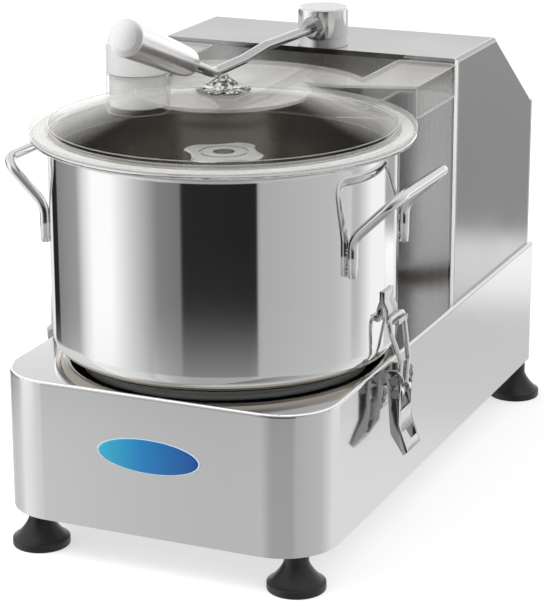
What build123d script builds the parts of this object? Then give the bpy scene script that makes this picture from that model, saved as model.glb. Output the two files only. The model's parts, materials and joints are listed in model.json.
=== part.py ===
"""Bench-top meat bowl cutter, about nine litres, with a belt-driven pair of knives.

Every solid is laid out about the bowl's axis and moved once, when it is written, so that
the origin lies on the floor under the middle of the machine. +X is the machine's right
side, +Y its back and +Z is up. Sizes are in millimetres.
"""
import os
from math import cos, hypot, pi, radians, sin, sqrt

from build123d import *

# ---------------------------------------------------------------- driving dimensions
SHEET = 1.5                     # stainless sheet of the casing

BASE_HALF_WIDTH = 134.7
BASE_FRONT = -138.6
BASE_REAR = 384.3
BASE_BOTTOM = 32.4
BASE_TOP = 144.3
BASE_FRONT_RADIUS = 45.0
BASE_REAR_RADIUS = 12.0
BASE_EDGE_RADIUS = 2.5

TOWER_HALF_WIDTH = 131.2
TOWER_FRONT = 164.9
TOWER_REAR = 369.9
TOWER_TOP = 350.3
TOWER_FLAT_END = 264.0          # the flat top ends here and the back slopes down
TOWER_SLOPE_FOOT = 276.3        # height where the slope meets the upright back
TOWER_LIP = 4.5                 # folded lip round the front opening
TOWER_LIP_DEPTH = 3.0
TOWER_BACK_LIP = 8.0            # broader lip, with the screw holes of the back cover
TOWER_EDGE_RADIUS = 3.5
COVER_SCREW_INSET = 5.2         # from the tower's side to the screws of the back cover
COVER_SCREW_RADIUS = 1.4
COVER_SCREW_HEAD_RADIUS = 2.3
COVER_SCREW_HEAD = 0.6

FOOT_FRONT = (108.0, -112.0)    # set in, under the round front corners
FOOT_REAR = (124.6, 362.6)
FOOT_RADIUS = 22.5
FOOT_NECK_RADIUS = 9.5
FOOT_RIM = 6.0
FOOT_SCREW_RADIUS = 4.0

BOWL_RADIUS = 135.0
BOWL_WALL = 1.5
BOWL_BOTTOM = 147.5
BOWL_FLOOR = 2.0
BOWL_CORNER = 12.0
BOWL_RIM_RADIUS = 148.3
BOWL_RIM_TOP = 317.0
BOWL_RIM_THICKNESS = 4.0
BOWL_RIM_COVE = 5.0             # round hollow under the rim
BOWL_TUBE_RADIUS = 24.0
BOWL_TUBE_WALL = 2.0
BOWL_TUBE_TOP = 236.0
SEAT_INNER = 88.0
SEAT_OUTER = 112.0

HANDLE_ROD = 4.0
HANDLE_Y = 54.0
HANDLE_STAND_OFF = 4.15         # rod centre from the bowl's wall
HANDLE_FOOT = 227.5
HANDLE_BEND = 257.0
HANDLE_BAR_X = 162.5
HANDLE_BAR_Z = 290.0
HANDLE_BEND_RADIUS = 13.0

LID_THICKNESS = 3.0
LID_FLANGE_BOTTOM = 318.0
LID_STEP_RADIUS = 134.0
LID_STEP_TOP = 324.0
LID_TOP_RADIUS = 67.0
LID_TOP = 347.0
LID_DECK_RADIUS = 117.0         # round back edge of the raised deck
LID_ARM_INNER = 82.0
LID_ARM_OUTER = 132.0
LID_ARM_FRONT_INNER = 51.0
LID_ARM_FRONT_OUTER = 70.0
LID_ARM_REAR = 161.0
LID_ARM_CORNER = 5.0
CENTRING_OUTER = 132.3
CENTRING_INNER = 129.9
CENTRING_BOTTOM = 301.5
LID_BUTTON_RADIUS = 21.0
LID_BUTTON_TOP = 359.2

FEED_X = -73.5
FEED_Y = 2.0
FEED_RADIUS = 25.0
FEED_WALL = 2.5
FEED_BOTTOM = 325.0
FEED_TOP = 355.0
STOPPER_TOP = 381.0
STOPPER_GAP = 0.3

POST_Y = 200.0
POST_RADIUS = 8.0
POST_RUNNING_GAP = 0.05
POST_HEAD_BOTTOM = 288.0
POST_HEAD_TOP = 297.0
CAP_RADIUS = 21.0
CAP_BOTTOM = 354.5
CAP_TOP = 378.5
COLLAR_RADIUS = 20.4

ARM_ROD = 4.0
ARM_ROD_Z = 364.0
ARM_POINTS = [(190, 364.0), (80, 366.5), (37, 363.6), (-18, 363.7)]   # y and z of the rod's bends
ARM_BENDS = (60, 40, 25)
GRIP_TILT = 20.0
GRIP_REACH = 43.5               # from the last bend to the grip
GRIP_SOCKET = 12.0
GRIP_START_Y = ARM_POINTS[-1][0] - GRIP_REACH * cos(radians(GRIP_TILT))
GRIP_START_Z = ARM_POINTS[-1][1] + GRIP_REACH * sin(radians(GRIP_TILT))
GRIP_LENGTH = 108.0
GRIP_END_RADIUS = 13.5
GRIP_DOME = 2.2                 # rise of the grip's round end

SPINDLE_RADIUS = 8.5
SPINDLE_STUD_RADIUS = 6.0
SPINDLE_BOTTOM = 60.0
SPINDLE_STUD_TOP = 291.0
NECK_RADIUS = 20.0
NECK_TOP = 205.0
BEARING_GAP = 0.05

HUB_INNER = 25.0
HUB_OUTER = 30.0
HUB_FLANGE = 36.0
HUB_BOTTOM = 152.0
HUB_TOP = 262.0
BLADE_TIP = 125.0
BLADE_THICKNESS = 3.0
LOWER_BLADE_Z = 155.0
UPPER_BLADE_Z = 196.0
STAR_RADIUS = 33.0
STAR_TOP = 299.0
STAR_LOBE_BOTTOM = 285.0

PULLEY_Z = 62.0
PULLEY_HEIGHT = 22.0
PULLEY_RIM = 3.5
DRIVEN_PULLEY_RADIUS = 40.0
MOTOR_PULLEY_RADIUS = 30.0
PULLEY_FLANGE = 4.0
BELT_THICKNESS = 3.0
BELT_GAP = 0.3

MOTOR_Y = 275.0
MOTOR_RADIUS = 60.0
MOTOR_WALL = 4.5
MOTOR_PLATE_TOP = 150.3
MOTOR_BODY_BOTTOM = 160.0
MOTOR_BODY_TOP = 262.0
MOTOR_SHIELD_TOP = 272.0
MOTOR_SHAFT_RADIUS = 7.0
MOTOR_BEARING_RADIUS = 15.0
ROTOR_RADIUS = 35.5
CAPACITOR_PLACE = (110.0, 330.0)

LATCH_PIVOT = (147.3, 137.1)    # x and z of the lever's pivot on the right side
BAIL_PIVOT = (148.3, 126.4)
BAIL_BAR = (142.5, 184.5)
BAIL_WIRE = 2.0
BAIL_HALF_FOOT = 7.8
BAIL_HALF_TOP = 15.0
BAIL_EYE_RADIUS = 4.2
BAIL_EYE_HALF = 2.3
CHEEK_INNER = 12.0
CHEEK = 2.0
LATCH_PIN_RADIUS = 2.2
BAIL_PIN_RADIUS = 2.0
PIN_GAP = 0.05
HOOK_HALF_WIDTH = 10.0

PANEL_Y0 = -90.0
PANEL_Y1 = -34.0
PANEL_Z0 = 74.0
PANEL_Z1 = 110.0
START_Y = -76.0
STOP_Y = -48.0
BUTTON_Z = 92.0
BUTTON_RADIUS = 9.0
BUTTON_GAP = 0.3

BADGE_HALF_WIDTH = 42.6
BADGE_HALF_HEIGHT = 13.4
BADGE_Z = 97.6

GLAND_X = 80.0
GLAND_Z = 72.0
GLAND_REACH = 17.0
GLAND_BORE = 4.0

# The box runs from the grip's lower lip in front to the cable gland behind.
GRIP_TIP_Y = GRIP_START_Y - GRIP_LENGTH * cos(radians(GRIP_TILT)) - GRIP_END_RADIUS * sin(radians(GRIP_TILT))
BOWL_Y = -(BASE_REAR + GLAND_REACH + GRIP_TIP_Y) / 2


# ---------------------------------------------------------------- small helpers
def block(x0, x1, y0, y1, z0, z1):
    """A box between two corners."""
    return Pos((x0 + x1) / 2, (y0 + y1) / 2, (z0 + z1) / 2) * Box(x1 - x0, y1 - y0, z1 - z0)


def disc(radius, z0, z1, x=0.0, y=0.0):
    """An upright cylinder."""
    return Pos(x, y, (z0 + z1) / 2) * Cylinder(radius, z1 - z0)


def ring(outer, inner, z0, z1, x=0.0, y=0.0):
    """An upright tube."""
    return disc(outer, z0, z1, x, y) - disc(inner, z0 - 1, z1 + 1, x, y)


def bar_x(radius, x0, x1, y, z):
    """A cylinder lying along X."""
    return Pos((x0 + x1) / 2, y, z) * Rot(0, 90, 0) * Cylinder(radius, x1 - x0)


def bar_y(radius, y0, y1, x, z):
    """A cylinder lying along Y."""
    return Pos(x, (y0 + y1) / 2, z) * Rot(90, 0, 0) * Cylinder(radius, y1 - y0)


def turned(points, x=0.0, y=0.0):
    """A profile of (radius, height) points turned about a vertical axis."""
    face = make_face(Polyline(*[(r, 0, z) for r, z in points], close=True))
    return Pos(x, y, 0) * revolve(face, Axis.Z)


def prism_y(points, y0, y1):
    """An outline of (x, z) points carried along Y."""
    face = make_face(Polyline(*[(x, y0, z) for x, z in points], close=True))
    return extrude(face, amount=y1 - y0, dir=(0, 1, 0))


def prism_x(points, x0, x1):
    """An outline of (y, z) points carried along X."""
    face = make_face(Polyline(*[(x0, y, z) for y, z in points], close=True))
    return extrude(face, amount=x1 - x0, dir=(1, 0, 0))


def upright(outline, z0, z1):
    """A flat outline in XY raised between two heights."""
    return extrude(Pos(0, 0, z0) * outline, amount=z1 - z0)


def bent_rod(points, radius, bends):
    """A round rod along a bent line, with an arc at each inner point."""
    path = FilletPolyline(*points, radius=bends)
    start = Vector(*points[0])
    heading = Vector(*points[1]) - start
    return sweep(Plane(origin=start, z_dir=heading) * Circle(radius), path=path)


def mirrored(solid):
    """The same piece on the machine's left side."""
    return mirror(solid, about=Plane.YZ)


def group(*solids):
    """Separate solids that share one node."""
    return Compound([one for part in solids for one in part.solids()])


# ---------------------------------------------------------------- casing
def base_outline(inset=0.0):
    """The base seen from above, with large front corners and small back ones."""
    half = BASE_HALF_WIDTH - inset
    front = BASE_FRONT + inset
    rear = BASE_REAR - inset
    outline = Pos(0, (front + rear) / 2) * Rectangle(2 * half, rear - front)
    outline = fillet(outline.vertices().sort_by(Axis.Y)[:2], BASE_FRONT_RADIUS - inset)
    return fillet(outline.vertices().sort_by(Axis.Y)[-2:], BASE_REAR_RADIUS - inset)


def make_base_housing():
    body = upright(base_outline(), BASE_BOTTOM, BASE_TOP)
    body = fillet(body.faces().sort_by(Axis.Z)[-1].edges(), BASE_EDGE_RADIUS)
    body -= upright(base_outline(SHEET), BASE_BOTTOM - 1, BASE_TOP - SHEET)
    body -= disc(NECK_RADIUS + 0.3, BASE_TOP - 5, BASE_TOP + 5)
    body -= disc(14, BASE_TOP - 5, BASE_TOP + 5, 0, MOTOR_Y)
    for y in (START_Y, STOP_Y):
        body -= bar_x(BUTTON_RADIUS + 0.6, -BASE_HALF_WIDTH - 5, -BASE_HALF_WIDTH + 5, y, BUTTON_Z)
    body -= bar_y(8.0, BASE_REAR - 5, BASE_REAR + 5, GLAND_X, GLAND_Z)
    return body


def foot_places():
    return [(sx * x, y) for sx in (-1, 1) for x, y in (FOOT_FRONT, FOOT_REAR)]


def make_base_bottom_plate():
    plate = upright(base_outline(SHEET), BASE_BOTTOM, BASE_BOTTOM + SHEET)
    for x, y in foot_places():
        plate -= disc(FOOT_SCREW_RADIUS, 0, 60, x, y)
    for x, y in plate_screw_places():
        plate -= disc(2.0, 0, 60, x, y)
    return plate


def plate_screw_places():
    return [(sx * 60.0, y) for sx in (-1, 1) for y in (-120.0, 366.0)]


def tower_outline(inset=0.0):
    """The tower seen from the side, as (y, z) points; the inset leaves a wall."""
    front = TOWER_FRONT + inset
    rear = TOWER_REAR - inset
    top = TOWER_TOP - inset
    run = TOWER_REAR - TOWER_FLAT_END
    drop = TOWER_TOP - TOWER_SLOPE_FOOT
    length = hypot(run, drop)
    flat_end = TOWER_FLAT_END - inset * (length - run) / drop
    slope_foot = TOWER_SLOPE_FOOT - inset * (length - drop) / run
    return [(front, BASE_TOP), (rear, BASE_TOP), (rear, slope_foot), (flat_end, top), (front, top)]


def make_tower_shell():
    half = TOWER_HALF_WIDTH
    shell = prism_x(tower_outline(), -half, half)
    sides = shell.faces().sort_by(Axis.X)
    edges = [e for e in sides[0].edges() + sides[-1].edges() if e.center().Z > BASE_TOP + 1]
    shell = fillet(edges, TOWER_EDGE_RADIUS)
    shell -= prism_x([(y, z - (1 if z == BASE_TOP else 0)) for y, z in tower_outline(SHEET)],
                     -half + SHEET, half - SHEET)
    lip = half - TOWER_LIP
    shell += tower_lip_frame(TOWER_FRONT, TOWER_FRONT + TOWER_LIP_DEPTH, TOWER_TOP - 1.0)
    shell -= block(-lip, lip, TOWER_FRONT - 5, TOWER_FRONT + 10, BASE_TOP - 5, TOWER_TOP - TOWER_LIP)
    lip = half - TOWER_BACK_LIP
    shell -= block(-lip, lip, TOWER_REAR - 5, TOWER_REAR + 5, BASE_TOP - 5, TOWER_SLOPE_FOOT - TOWER_BACK_LIP)
    shell -= disc(12.0, TOWER_TOP - 5, TOWER_TOP + 5, 0, POST_Y)
    for x, z in rear_screw_places():
        shell -= bar_y(COVER_SCREW_RADIUS, TOWER_REAR - 5, TOWER_REAR + 5, x, z)
    return shell


def tower_lip_frame(y0, y1, top):
    """The folded lip behind the front edge, as a slab that the opening is cut from."""
    half = TOWER_HALF_WIDTH - 1.4
    return block(-half, half, y0 + 1.2, y1, BASE_TOP, top)


def make_tower_front_panel():
    half = TOWER_HALF_WIDTH - SHEET - 0.7
    y0 = TOWER_FRONT + TOWER_LIP_DEPTH
    return block(-half, half, y0, y0 + SHEET, BASE_TOP, TOWER_TOP - SHEET - 0.7)


def rear_screw_places():
    """Screws through the back cover into the shell's lips, as (x, z)."""
    x = TOWER_HALF_WIDTH - COVER_SCREW_INSET
    return [(sx * x, z) for sx in (-1, 1) for z in (BASE_TOP + 15, TOWER_SLOPE_FOOT - 15)]


def make_tower_rear_cover():
    half = TOWER_HALF_WIDTH - 0.5
    cover = block(-half, half, TOWER_REAR, TOWER_REAR + SHEET, BASE_TOP + 0.3, TOWER_SLOPE_FOOT - 0.3)
    for row in range(7):
        z = BASE_TOP + 30 + 13 * row
        for x in (-45.0, 45.0):
            slot = Pos(x, TOWER_REAR + SHEET / 2, z) * Rot(90, 0, 0) * extrude(
                SlotOverall(70, 4.5), amount=3, both=True)
            cover -= slot
    for x, z in rear_screw_places():
        cover -= bar_y(COVER_SCREW_RADIUS, TOWER_REAR - 5, TOWER_REAR + 5, x, z)
    return cover


def make_panel_screws():
    screws = []
    for x, z in rear_screw_places():
        outside = TOWER_REAR + SHEET
        head = bar_y(COVER_SCREW_HEAD_RADIUS, outside, outside + COVER_SCREW_HEAD, x, z)
        screws.append(head + bar_y(COVER_SCREW_RADIUS, TOWER_REAR - 4, outside, x, z))
    for x, y in plate_screw_places():
        screws.append(disc(4.0, BASE_BOTTOM - 2.2, BASE_BOTTOM, x, y) + disc(2.0, BASE_BOTTOM, 42, x, y))
    return group(*screws)


def make_rubber_feet():
    """Bell-shaped feet: an upright rim, a hollow curve and a narrow neck."""
    feet = []
    for x, y in foot_places():
        rim = (FOOT_RADIUS, FOOT_RIM)
        neck = (FOOT_NECK_RADIUS, 21.5)
        curve = ThreePointArc((rim[0], 0, rim[1]), (15.2, 0, 12.4), (neck[0], 0, neck[1]))
        side = Polyline((neck[0], 0, neck[1]), (neck[0], 0, BASE_BOTTOM), (0, 0, BASE_BOTTOM),
                        (0, 0, 0), (FOOT_RADIUS - 1, 0, 0), (FOOT_RADIUS, 0, 1), (rim[0], 0, rim[1]))
        foot = revolve(make_face(curve + side), Axis.Z)
        feet.append(Pos(x, y, 0) * foot - disc(FOOT_SCREW_RADIUS, 12, 60, x, y))
    return group(*feet)


def make_foot_screws():
    screws = []
    for x, y in foot_places():
        shank = disc(FOOT_SCREW_RADIUS, 12, 46, x, y)
        nut = upright(Pos(x, y) * RegularPolygon(7.5, 6), BASE_BOTTOM + SHEET, BASE_BOTTOM + SHEET + 6)
        screws.append(shank + nut)
    return group(*screws)


def make_badge():
    plate = extrude(Plane.XZ.offset(-BASE_FRONT) * (Pos(0, BADGE_Z) * Ellipse(
        BADGE_HALF_WIDTH, BADGE_HALF_HEIGHT)), amount=1.2)
    return plate


def make_cable_gland():
    y = BASE_REAR
    gland = bar_y(8.0, y - 8, y, GLAND_X, GLAND_Z)
    gland += Pos(GLAND_X, y, GLAND_Z) * Rot(90, 0, 0) * extrude(RegularPolygon(12.0, 6), amount=-6)
    nose = Pos(GLAND_X, y + 6, GLAND_Z) * Rot(-90, 0, 0) * Pos(0, 0, (GLAND_REACH - 6) / 2) * Cone(
        10.0, 7.0, GLAND_REACH - 6)
    return gland + nose - bar_y(GLAND_BORE, y - 20, y + 40, GLAND_X, GLAND_Z)


# ---------------------------------------------------------------- switches
def make_switch_panel():
    x = -BASE_HALF_WIDTH
    plate = block(x - 2, x, PANEL_Y0, PANEL_Y1, PANEL_Z0, PANEL_Z1)
    plate = fillet(plate.edges().filter_by(Axis.X), 5)
    for y in (START_Y, STOP_Y):
        plate += bar_x(BUTTON_RADIUS + 3, x - 4, x - 2, y, BUTTON_Z)
    for y in (START_Y, STOP_Y):
        plate -= bar_x(BUTTON_RADIUS + BUTTON_GAP, x - 9, x + 5, y, BUTTON_Z)
    return plate


def make_button(y, cap_radius, crown):
    """A plunger with a domed cap; it slides towards +X when pressed."""
    x = -BASE_HALF_WIDTH
    stem = bar_x(BUTTON_RADIUS, x - 8, x + 3, y, BUTTON_Z)
    cap = bar_x(cap_radius, x - 8 - crown, x - 8, y, BUTTON_Z)
    cap = fillet(cap.faces().sort_by(Axis.X)[0].edges(), 1.5)
    return stem + cap


def make_switch_contacts():
    x = -BASE_HALF_WIDTH
    blocks = []
    for y in (START_Y, STOP_Y):
        body = block(x + 7, x + 32, y - 12, y + 12, BUTTON_Z - 14, BUTTON_Z + 14)
        frame = block(x + SHEET, x + 8, y - 12, y + 12, BUTTON_Z - 14, BUTTON_Z + 14)
        frame -= bar_x(BUTTON_RADIUS + 1, x, x + 9, y, BUTTON_Z)
        blocks.append(body + frame)
    return group(*blocks)


# ---------------------------------------------------------------- bowl
def make_bowl():
    """A spun pan with a rolled rim and a tube up its middle for the spindle."""
    inner = BOWL_RADIUS - BOWL_WALL
    floor = BOWL_BOTTOM + BOWL_FLOOR
    rim_bottom = BOWL_RIM_TOP - BOWL_RIM_THICKNESS
    half = BOWL_RIM_THICKNESS / 2
    turn = BOWL_CORNER * (1 - 1 / sqrt(2))
    tube_inner = BOWL_TUBE_RADIUS - BOWL_TUBE_WALL
    inner_corner = BOWL_CORNER - BOWL_WALL
    inner_turn = inner_corner * (1 - 1 / sqrt(2))

    def at(r, z):
        return (r, 0, z)

    outline = Polyline(at(tube_inner, BOWL_BOTTOM), at(BOWL_RADIUS - BOWL_CORNER, BOWL_BOTTOM))
    outline += ThreePointArc(at(BOWL_RADIUS - BOWL_CORNER, BOWL_BOTTOM),
                             at(BOWL_RADIUS - turn, BOWL_BOTTOM + turn),
                             at(BOWL_RADIUS, BOWL_BOTTOM + BOWL_CORNER))
    cove = BOWL_RIM_COVE
    cove_turn = cove * (1 - 1 / sqrt(2))
    outline += Line(at(BOWL_RADIUS, BOWL_BOTTOM + BOWL_CORNER), at(BOWL_RADIUS, rim_bottom - cove))
    outline += ThreePointArc(at(BOWL_RADIUS, rim_bottom - cove),
                             at(BOWL_RADIUS + cove_turn, rim_bottom - cove_turn),
                             at(BOWL_RADIUS + cove, rim_bottom))
    outline += Line(at(BOWL_RADIUS + cove, rim_bottom), at(BOWL_RIM_RADIUS - half, rim_bottom))
    outline += ThreePointArc(at(BOWL_RIM_RADIUS - half, rim_bottom),
                             at(BOWL_RIM_RADIUS, rim_bottom + half),
                             at(BOWL_RIM_RADIUS - half, BOWL_RIM_TOP))
    outline += Polyline(at(BOWL_RIM_RADIUS - half, BOWL_RIM_TOP), at(inner, BOWL_RIM_TOP),
                        at(inner, floor + inner_corner))
    outline += ThreePointArc(at(inner, floor + inner_corner),
                             at(inner - inner_turn, floor + inner_turn),
                             at(inner - inner_corner, floor))
    outline += Polyline(at(inner - inner_corner, floor), at(BOWL_TUBE_RADIUS, floor),
                        at(BOWL_TUBE_RADIUS, BOWL_TUBE_TOP), at(tube_inner, BOWL_TUBE_TOP),
                        at(tube_inner, BOWL_BOTTOM))
    return revolve(make_face(outline), Axis.Z)


def make_bowl_seat_ring():
    return ring(SEAT_OUTER, SEAT_INNER, BASE_TOP, BOWL_BOTTOM)


def handle_leg_x():
    reach = BOWL_RADIUS + HANDLE_STAND_OFF
    return sqrt(reach ** 2 - HANDLE_Y ** 2)


def make_bowl_handles():
    """Bent rods held off the wall by short welded studs."""
    leg = handle_leg_x()
    near = [(leg, -HANDLE_Y, HANDLE_FOOT), (leg, -HANDLE_Y, HANDLE_BEND), (HANDLE_BAR_X, -HANDLE_Y, HANDLE_BAR_Z)]
    far = [(x, -y, z) for x, y, z in reversed(near)]
    right = bent_rod(near + far, HANDLE_ROD, HANDLE_BEND_RADIUS)
    for y in (-HANDLE_Y, HANDLE_Y):
        for z in (HANDLE_FOOT + 6, HANDLE_BEND - 10):
            start = Vector(leg * 0.94, y * 0.94, z)
            stud = extrude(Plane(origin=start, z_dir=(leg, y, 0)) * Circle(2.6), amount=8)
            right += stud - disc(BOWL_RADIUS, z - 10, z + 10)
    return group(right, mirrored(right))


def make_bowl_hooks():
    """Catches on the bowl's wall: a plate that ends in an upturned trough for the bail."""
    bar_x0, bar_z0 = BAIL_BAR
    floor = bar_z0 - BAIL_WIRE - 0.3
    back = bar_x0 - BAIL_WIRE - 0.4
    lip = bar_x0 + 4.2
    lip_top = bar_z0
    wall = BOWL_RADIUS - 1.0
    points = [(wall, 205.0), (BOWL_RADIUS + 2, 205.0), (BOWL_RADIUS + 2, 197.0), (back, 190.5), (back, floor),
              (lip, floor), (lip, lip_top), (lip + 2, lip_top), (lip + 2, floor - 2), (back - 2, floor - 2),
              (back - 2, 190.0), (wall, 196.0)]
    hook = prism_y(points, -HOOK_HALF_WIDTH, HOOK_HALF_WIDTH)
    hook -= disc(BOWL_RADIUS, 150, 250)
    return group(hook, mirrored(hook))


# ---------------------------------------------------------------- toggle latches
def make_latch_brackets():
    """A back plate on the casing with two ears that carry the lever's pivots."""
    px, pz = LATCH_PIVOT
    side = BASE_HALF_WIDTH
    back = block(side, side + SHEET, -11.7, 11.7, 112.0, pz + 6.0)
    ears = []
    for y0 in (-11.7, 10.2):
        ear = block(side, px, y0, y0 + SHEET, pz - 6.0, pz + 6.0) + bar_y(6.0, y0, y0 + SHEET, px, pz)
        ears.append(ear - bar_y(LATCH_PIN_RADIUS, y0 - 1, y0 + 3, px, pz))
    rivets = [bar_x(2.5, side + SHEET, side + SHEET + 1.0, y, 118.0) for y in (-6.0, 6.0)]
    bracket = back + ears[0] + ears[1] + rivets[0] + rivets[1]
    return group(bracket, mirrored(bracket))


def make_latch_pivot_pins():
    """Stub rivets, one in each ear, with a round head outside the lever's cheek."""
    px, pz = LATCH_PIVOT
    outer = CHEEK_INNER + CHEEK + 0.2
    near = bar_y(LATCH_PIN_RADIUS, -outer, -10.2, px, pz) + bar_y(3.4, -outer - 1.5, -outer, px, pz)
    far = mirror(near, about=Plane.XZ)
    return group(near, far, mirrored(near), mirrored(far))


def make_latch_lever():
    """Two cheeks joined by a web and by a thumb bar at the kicked-out end."""
    px, pz = LATCH_PIVOT
    bx, bz = BAIL_PIVOT
    outline = [(140.2, 139.5), (142.6, 144.2), (149.0, 145.2), (152.6, 141.6), (151.2, 118.0), (151.3, 101.5),
               (158.8, 81.0), (155.2, 77.6), (144.6, 93.6), (143.4, 104.5), (142.2, 124.0)]
    lever = None
    for y0 in (-CHEEK_INNER - CHEEK, CHEEK_INNER):
        cheek = prism_y(outline, y0, y0 + CHEEK)
        cheek = fillet(cheek.edges().filter_by(Axis.Y).filter_by(lambda e: e.center().Z > 138), 2.0)
        cheek -= bar_y(LATCH_PIN_RADIUS + PIN_GAP, y0 - 1, y0 + 4, px, pz)
        cheek -= bar_y(BAIL_PIN_RADIUS, y0 - 1, y0 + 4, bx, bz)
        lever = cheek if lever is None else lever + cheek
    web = prism_y([(149.4, 112.0), (151.2, 112.0), (151.3, 101.5), (153.4, 95.8), (151.6, 95.0), (149.5, 101.0)],
                  -CHEEK_INNER, CHEEK_INNER)
    thumb = prism_y([(158.8, 81.0), (155.2, 77.6), (152.4, 81.9), (156.4, 87.6)], -CHEEK_INNER, CHEEK_INNER)
    return lever + web + thumb


def make_bail_pin():
    bx, bz = BAIL_PIVOT
    outer = CHEEK_INNER + CHEEK
    pin = bar_y(BAIL_PIN_RADIUS, -outer, outer, bx, bz)
    for y0 in (-outer - 1.4, outer):
        pin += bar_y(3.2, y0, y0 + 1.4, bx, bz)
    return pin


def make_bail():
    """A wire loop: eyes on the lever's pin, legs that spread, and a bar across the hook."""
    bx, bz = BAIL_PIVOT
    tx, tz = BAIL_BAR
    near = [(bx + 0.3, -BAIL_HALF_FOOT, bz + 3.2), (150.0, -BAIL_HALF_FOOT, 151.0),
            (144.0, -BAIL_HALF_TOP, 175.0), (tx, -BAIL_HALF_TOP, tz)]
    far = [(x, -y, z) for x, y, z in reversed(near)]
    loop = bent_rod(near + far, BAIL_WIRE, (8.0, 8.0, 4.5, 4.5, 8.0, 8.0))
    for y in (-BAIL_HALF_FOOT, BAIL_HALF_FOOT):
        loop += bar_y(BAIL_EYE_RADIUS, y - BAIL_EYE_HALF, y + BAIL_EYE_HALF, bx, bz)
    for y in (-BAIL_HALF_FOOT, BAIL_HALF_FOOT):
        loop -= bar_y(BAIL_PIN_RADIUS + PIN_GAP, y - 5, y + 5, bx, bz)
    return loop


# ---------------------------------------------------------------- lid
def deck_outline(inset=0.0):
    """The raised back of the lid seen from above: a round middle and two arms."""
    inner = LID_ARM_INNER + inset
    outer = LID_ARM_OUTER - inset
    rear = LID_ARM_REAR - inset
    radius = LID_DECK_RADIUS - inset
    notch = sqrt(radius ** 2 - inner ** 2)
    slope = (LID_ARM_FRONT_OUTER - LID_ARM_FRONT_INNER) / (LID_ARM_OUTER - 72.0)
    front_outer = LID_ARM_FRONT_OUTER + inset - slope * inset
    front_inner = LID_ARM_FRONT_INNER + inset
    start = (72.0, front_inner)
    right = [start, (outer, front_outer), (outer, rear), (inner, rear), (inner, notch)]
    left = [(-x, y) for x, y in reversed(right)]
    lines = Polyline(*right) + ThreePointArc(right[-1], (0, radius), left[0]) + Polyline(*left)
    lines += Line(left[-1], right[0])
    face = make_face(lines)
    corners = [v for v in face.vertices() if abs(v.X) > LID_ARM_INNER - 1 and v.Y > 60 and v.Y != notch]
    corners = [v for v in corners if abs(v.Y - notch) > 1]
    return fillet(corners, LID_ARM_CORNER - inset)


def make_lid():
    """A clear moulded lid: flat flange, step, cone, flat top, feed tube and raised back."""
    flange_top = LID_FLANGE_BOTTOM + LID_THICKNESS
    wall = LID_THICKNESS
    outer = turned([(0, LID_FLANGE_BOTTOM), (BOWL_RIM_RADIUS, LID_FLANGE_BOTTOM), (BOWL_RIM_RADIUS, flange_top),
                    (LID_STEP_RADIUS, flange_top), (LID_STEP_RADIUS, LID_STEP_TOP), (LID_TOP_RADIUS, LID_TOP),
                    (0, LID_TOP)])
    outer += upright(deck_outline(), flange_top, LID_TOP)
    outer += disc(FEED_RADIUS, FEED_BOTTOM, FEED_TOP, FEED_X, FEED_Y)
    hollow = turned([(0, LID_FLANGE_BOTTOM - 1), (LID_STEP_RADIUS - wall, LID_FLANGE_BOTTOM - 1),
                     (LID_STEP_RADIUS - wall, LID_STEP_TOP - wall), (LID_TOP_RADIUS - 0.5, LID_TOP - wall),
                     (0, LID_TOP - wall)])
    hollow += upright(deck_outline(wall), flange_top, LID_TOP - wall)
    lid = outer - hollow
    lid += ring(FEED_RADIUS, FEED_RADIUS - FEED_WALL, FEED_BOTTOM, FEED_TOP, FEED_X, FEED_Y)
    return lid - disc(FEED_RADIUS - FEED_WALL, FEED_BOTTOM - 5, FEED_TOP + 5, FEED_X, FEED_Y)


def make_lid_centring_ring():
    """The clear ring under the lid that drops inside the bowl and centres it."""
    return ring(CENTRING_OUTER, CENTRING_INNER, CENTRING_BOTTOM, LID_FLANGE_BOTTOM)


def make_lid_gasket():
    return ring(145.5, 136.5, BOWL_RIM_TOP, LID_FLANGE_BOTTOM)


def make_lid_button():
    """A clear cone that the locking arm bears on."""
    return turned([(0, LID_TOP), (LID_BUTTON_RADIUS, LID_TOP), (LID_BUTTON_RADIUS, LID_TOP + 1.6),
                   (12.0, LID_TOP + 4.5), (6.0, LID_TOP + 8.5), (4.0, LID_BUTTON_TOP), (0, LID_BUTTON_TOP)])


def make_feed_stopper():
    """A hollow plug with a head as wide as the feed tube."""
    plug = FEED_RADIUS - FEED_WALL - STOPPER_GAP
    head_bottom = FEED_TOP + STOPPER_GAP
    stopper = turned([(0, 329.0), (plug - 1, 329.0), (plug, 330.0), (plug, head_bottom),
                      (FEED_RADIUS - 0.4, head_bottom), (FEED_RADIUS - 0.4, STOPPER_TOP - 2),
                      (FEED_RADIUS - 2.4, STOPPER_TOP), (0, STOPPER_TOP)])
    return Pos(FEED_X, FEED_Y, 0) * stopper


# ---------------------------------------------------------------- locking arm
def make_arm_bushing():
    tube = ring(12.0, POST_RADIUS + POST_RUNNING_GAP, POST_HEAD_TOP + 0.3, CAP_BOTTOM - 0.3, 0, POST_Y)
    return tube + ring(COLLAR_RADIUS, 11.0, TOWER_TOP, CAP_BOTTOM - 0.3, 0, POST_Y)


def make_arm_post():
    post = disc(POST_RADIUS, POST_HEAD_TOP, CAP_TOP - 5, 0, POST_Y)
    return post + disc(11.0, POST_HEAD_BOTTOM, POST_HEAD_TOP, 0, POST_Y)


def make_arm_cap():
    cap = disc(CAP_RADIUS, CAP_BOTTOM, CAP_TOP, 0, POST_Y)
    cap = fillet(cap.faces().sort_by(Axis.Z)[-1].edges(), 1.8)
    cap -= disc(POST_RADIUS, CAP_BOTTOM - 1, CAP_TOP - 5, 0, POST_Y)
    return cap - bar_y(ARM_ROD, POST_Y - CAP_RADIUS - 1, ARM_POINTS[0][0], 0, ARM_ROD_Z)


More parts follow.
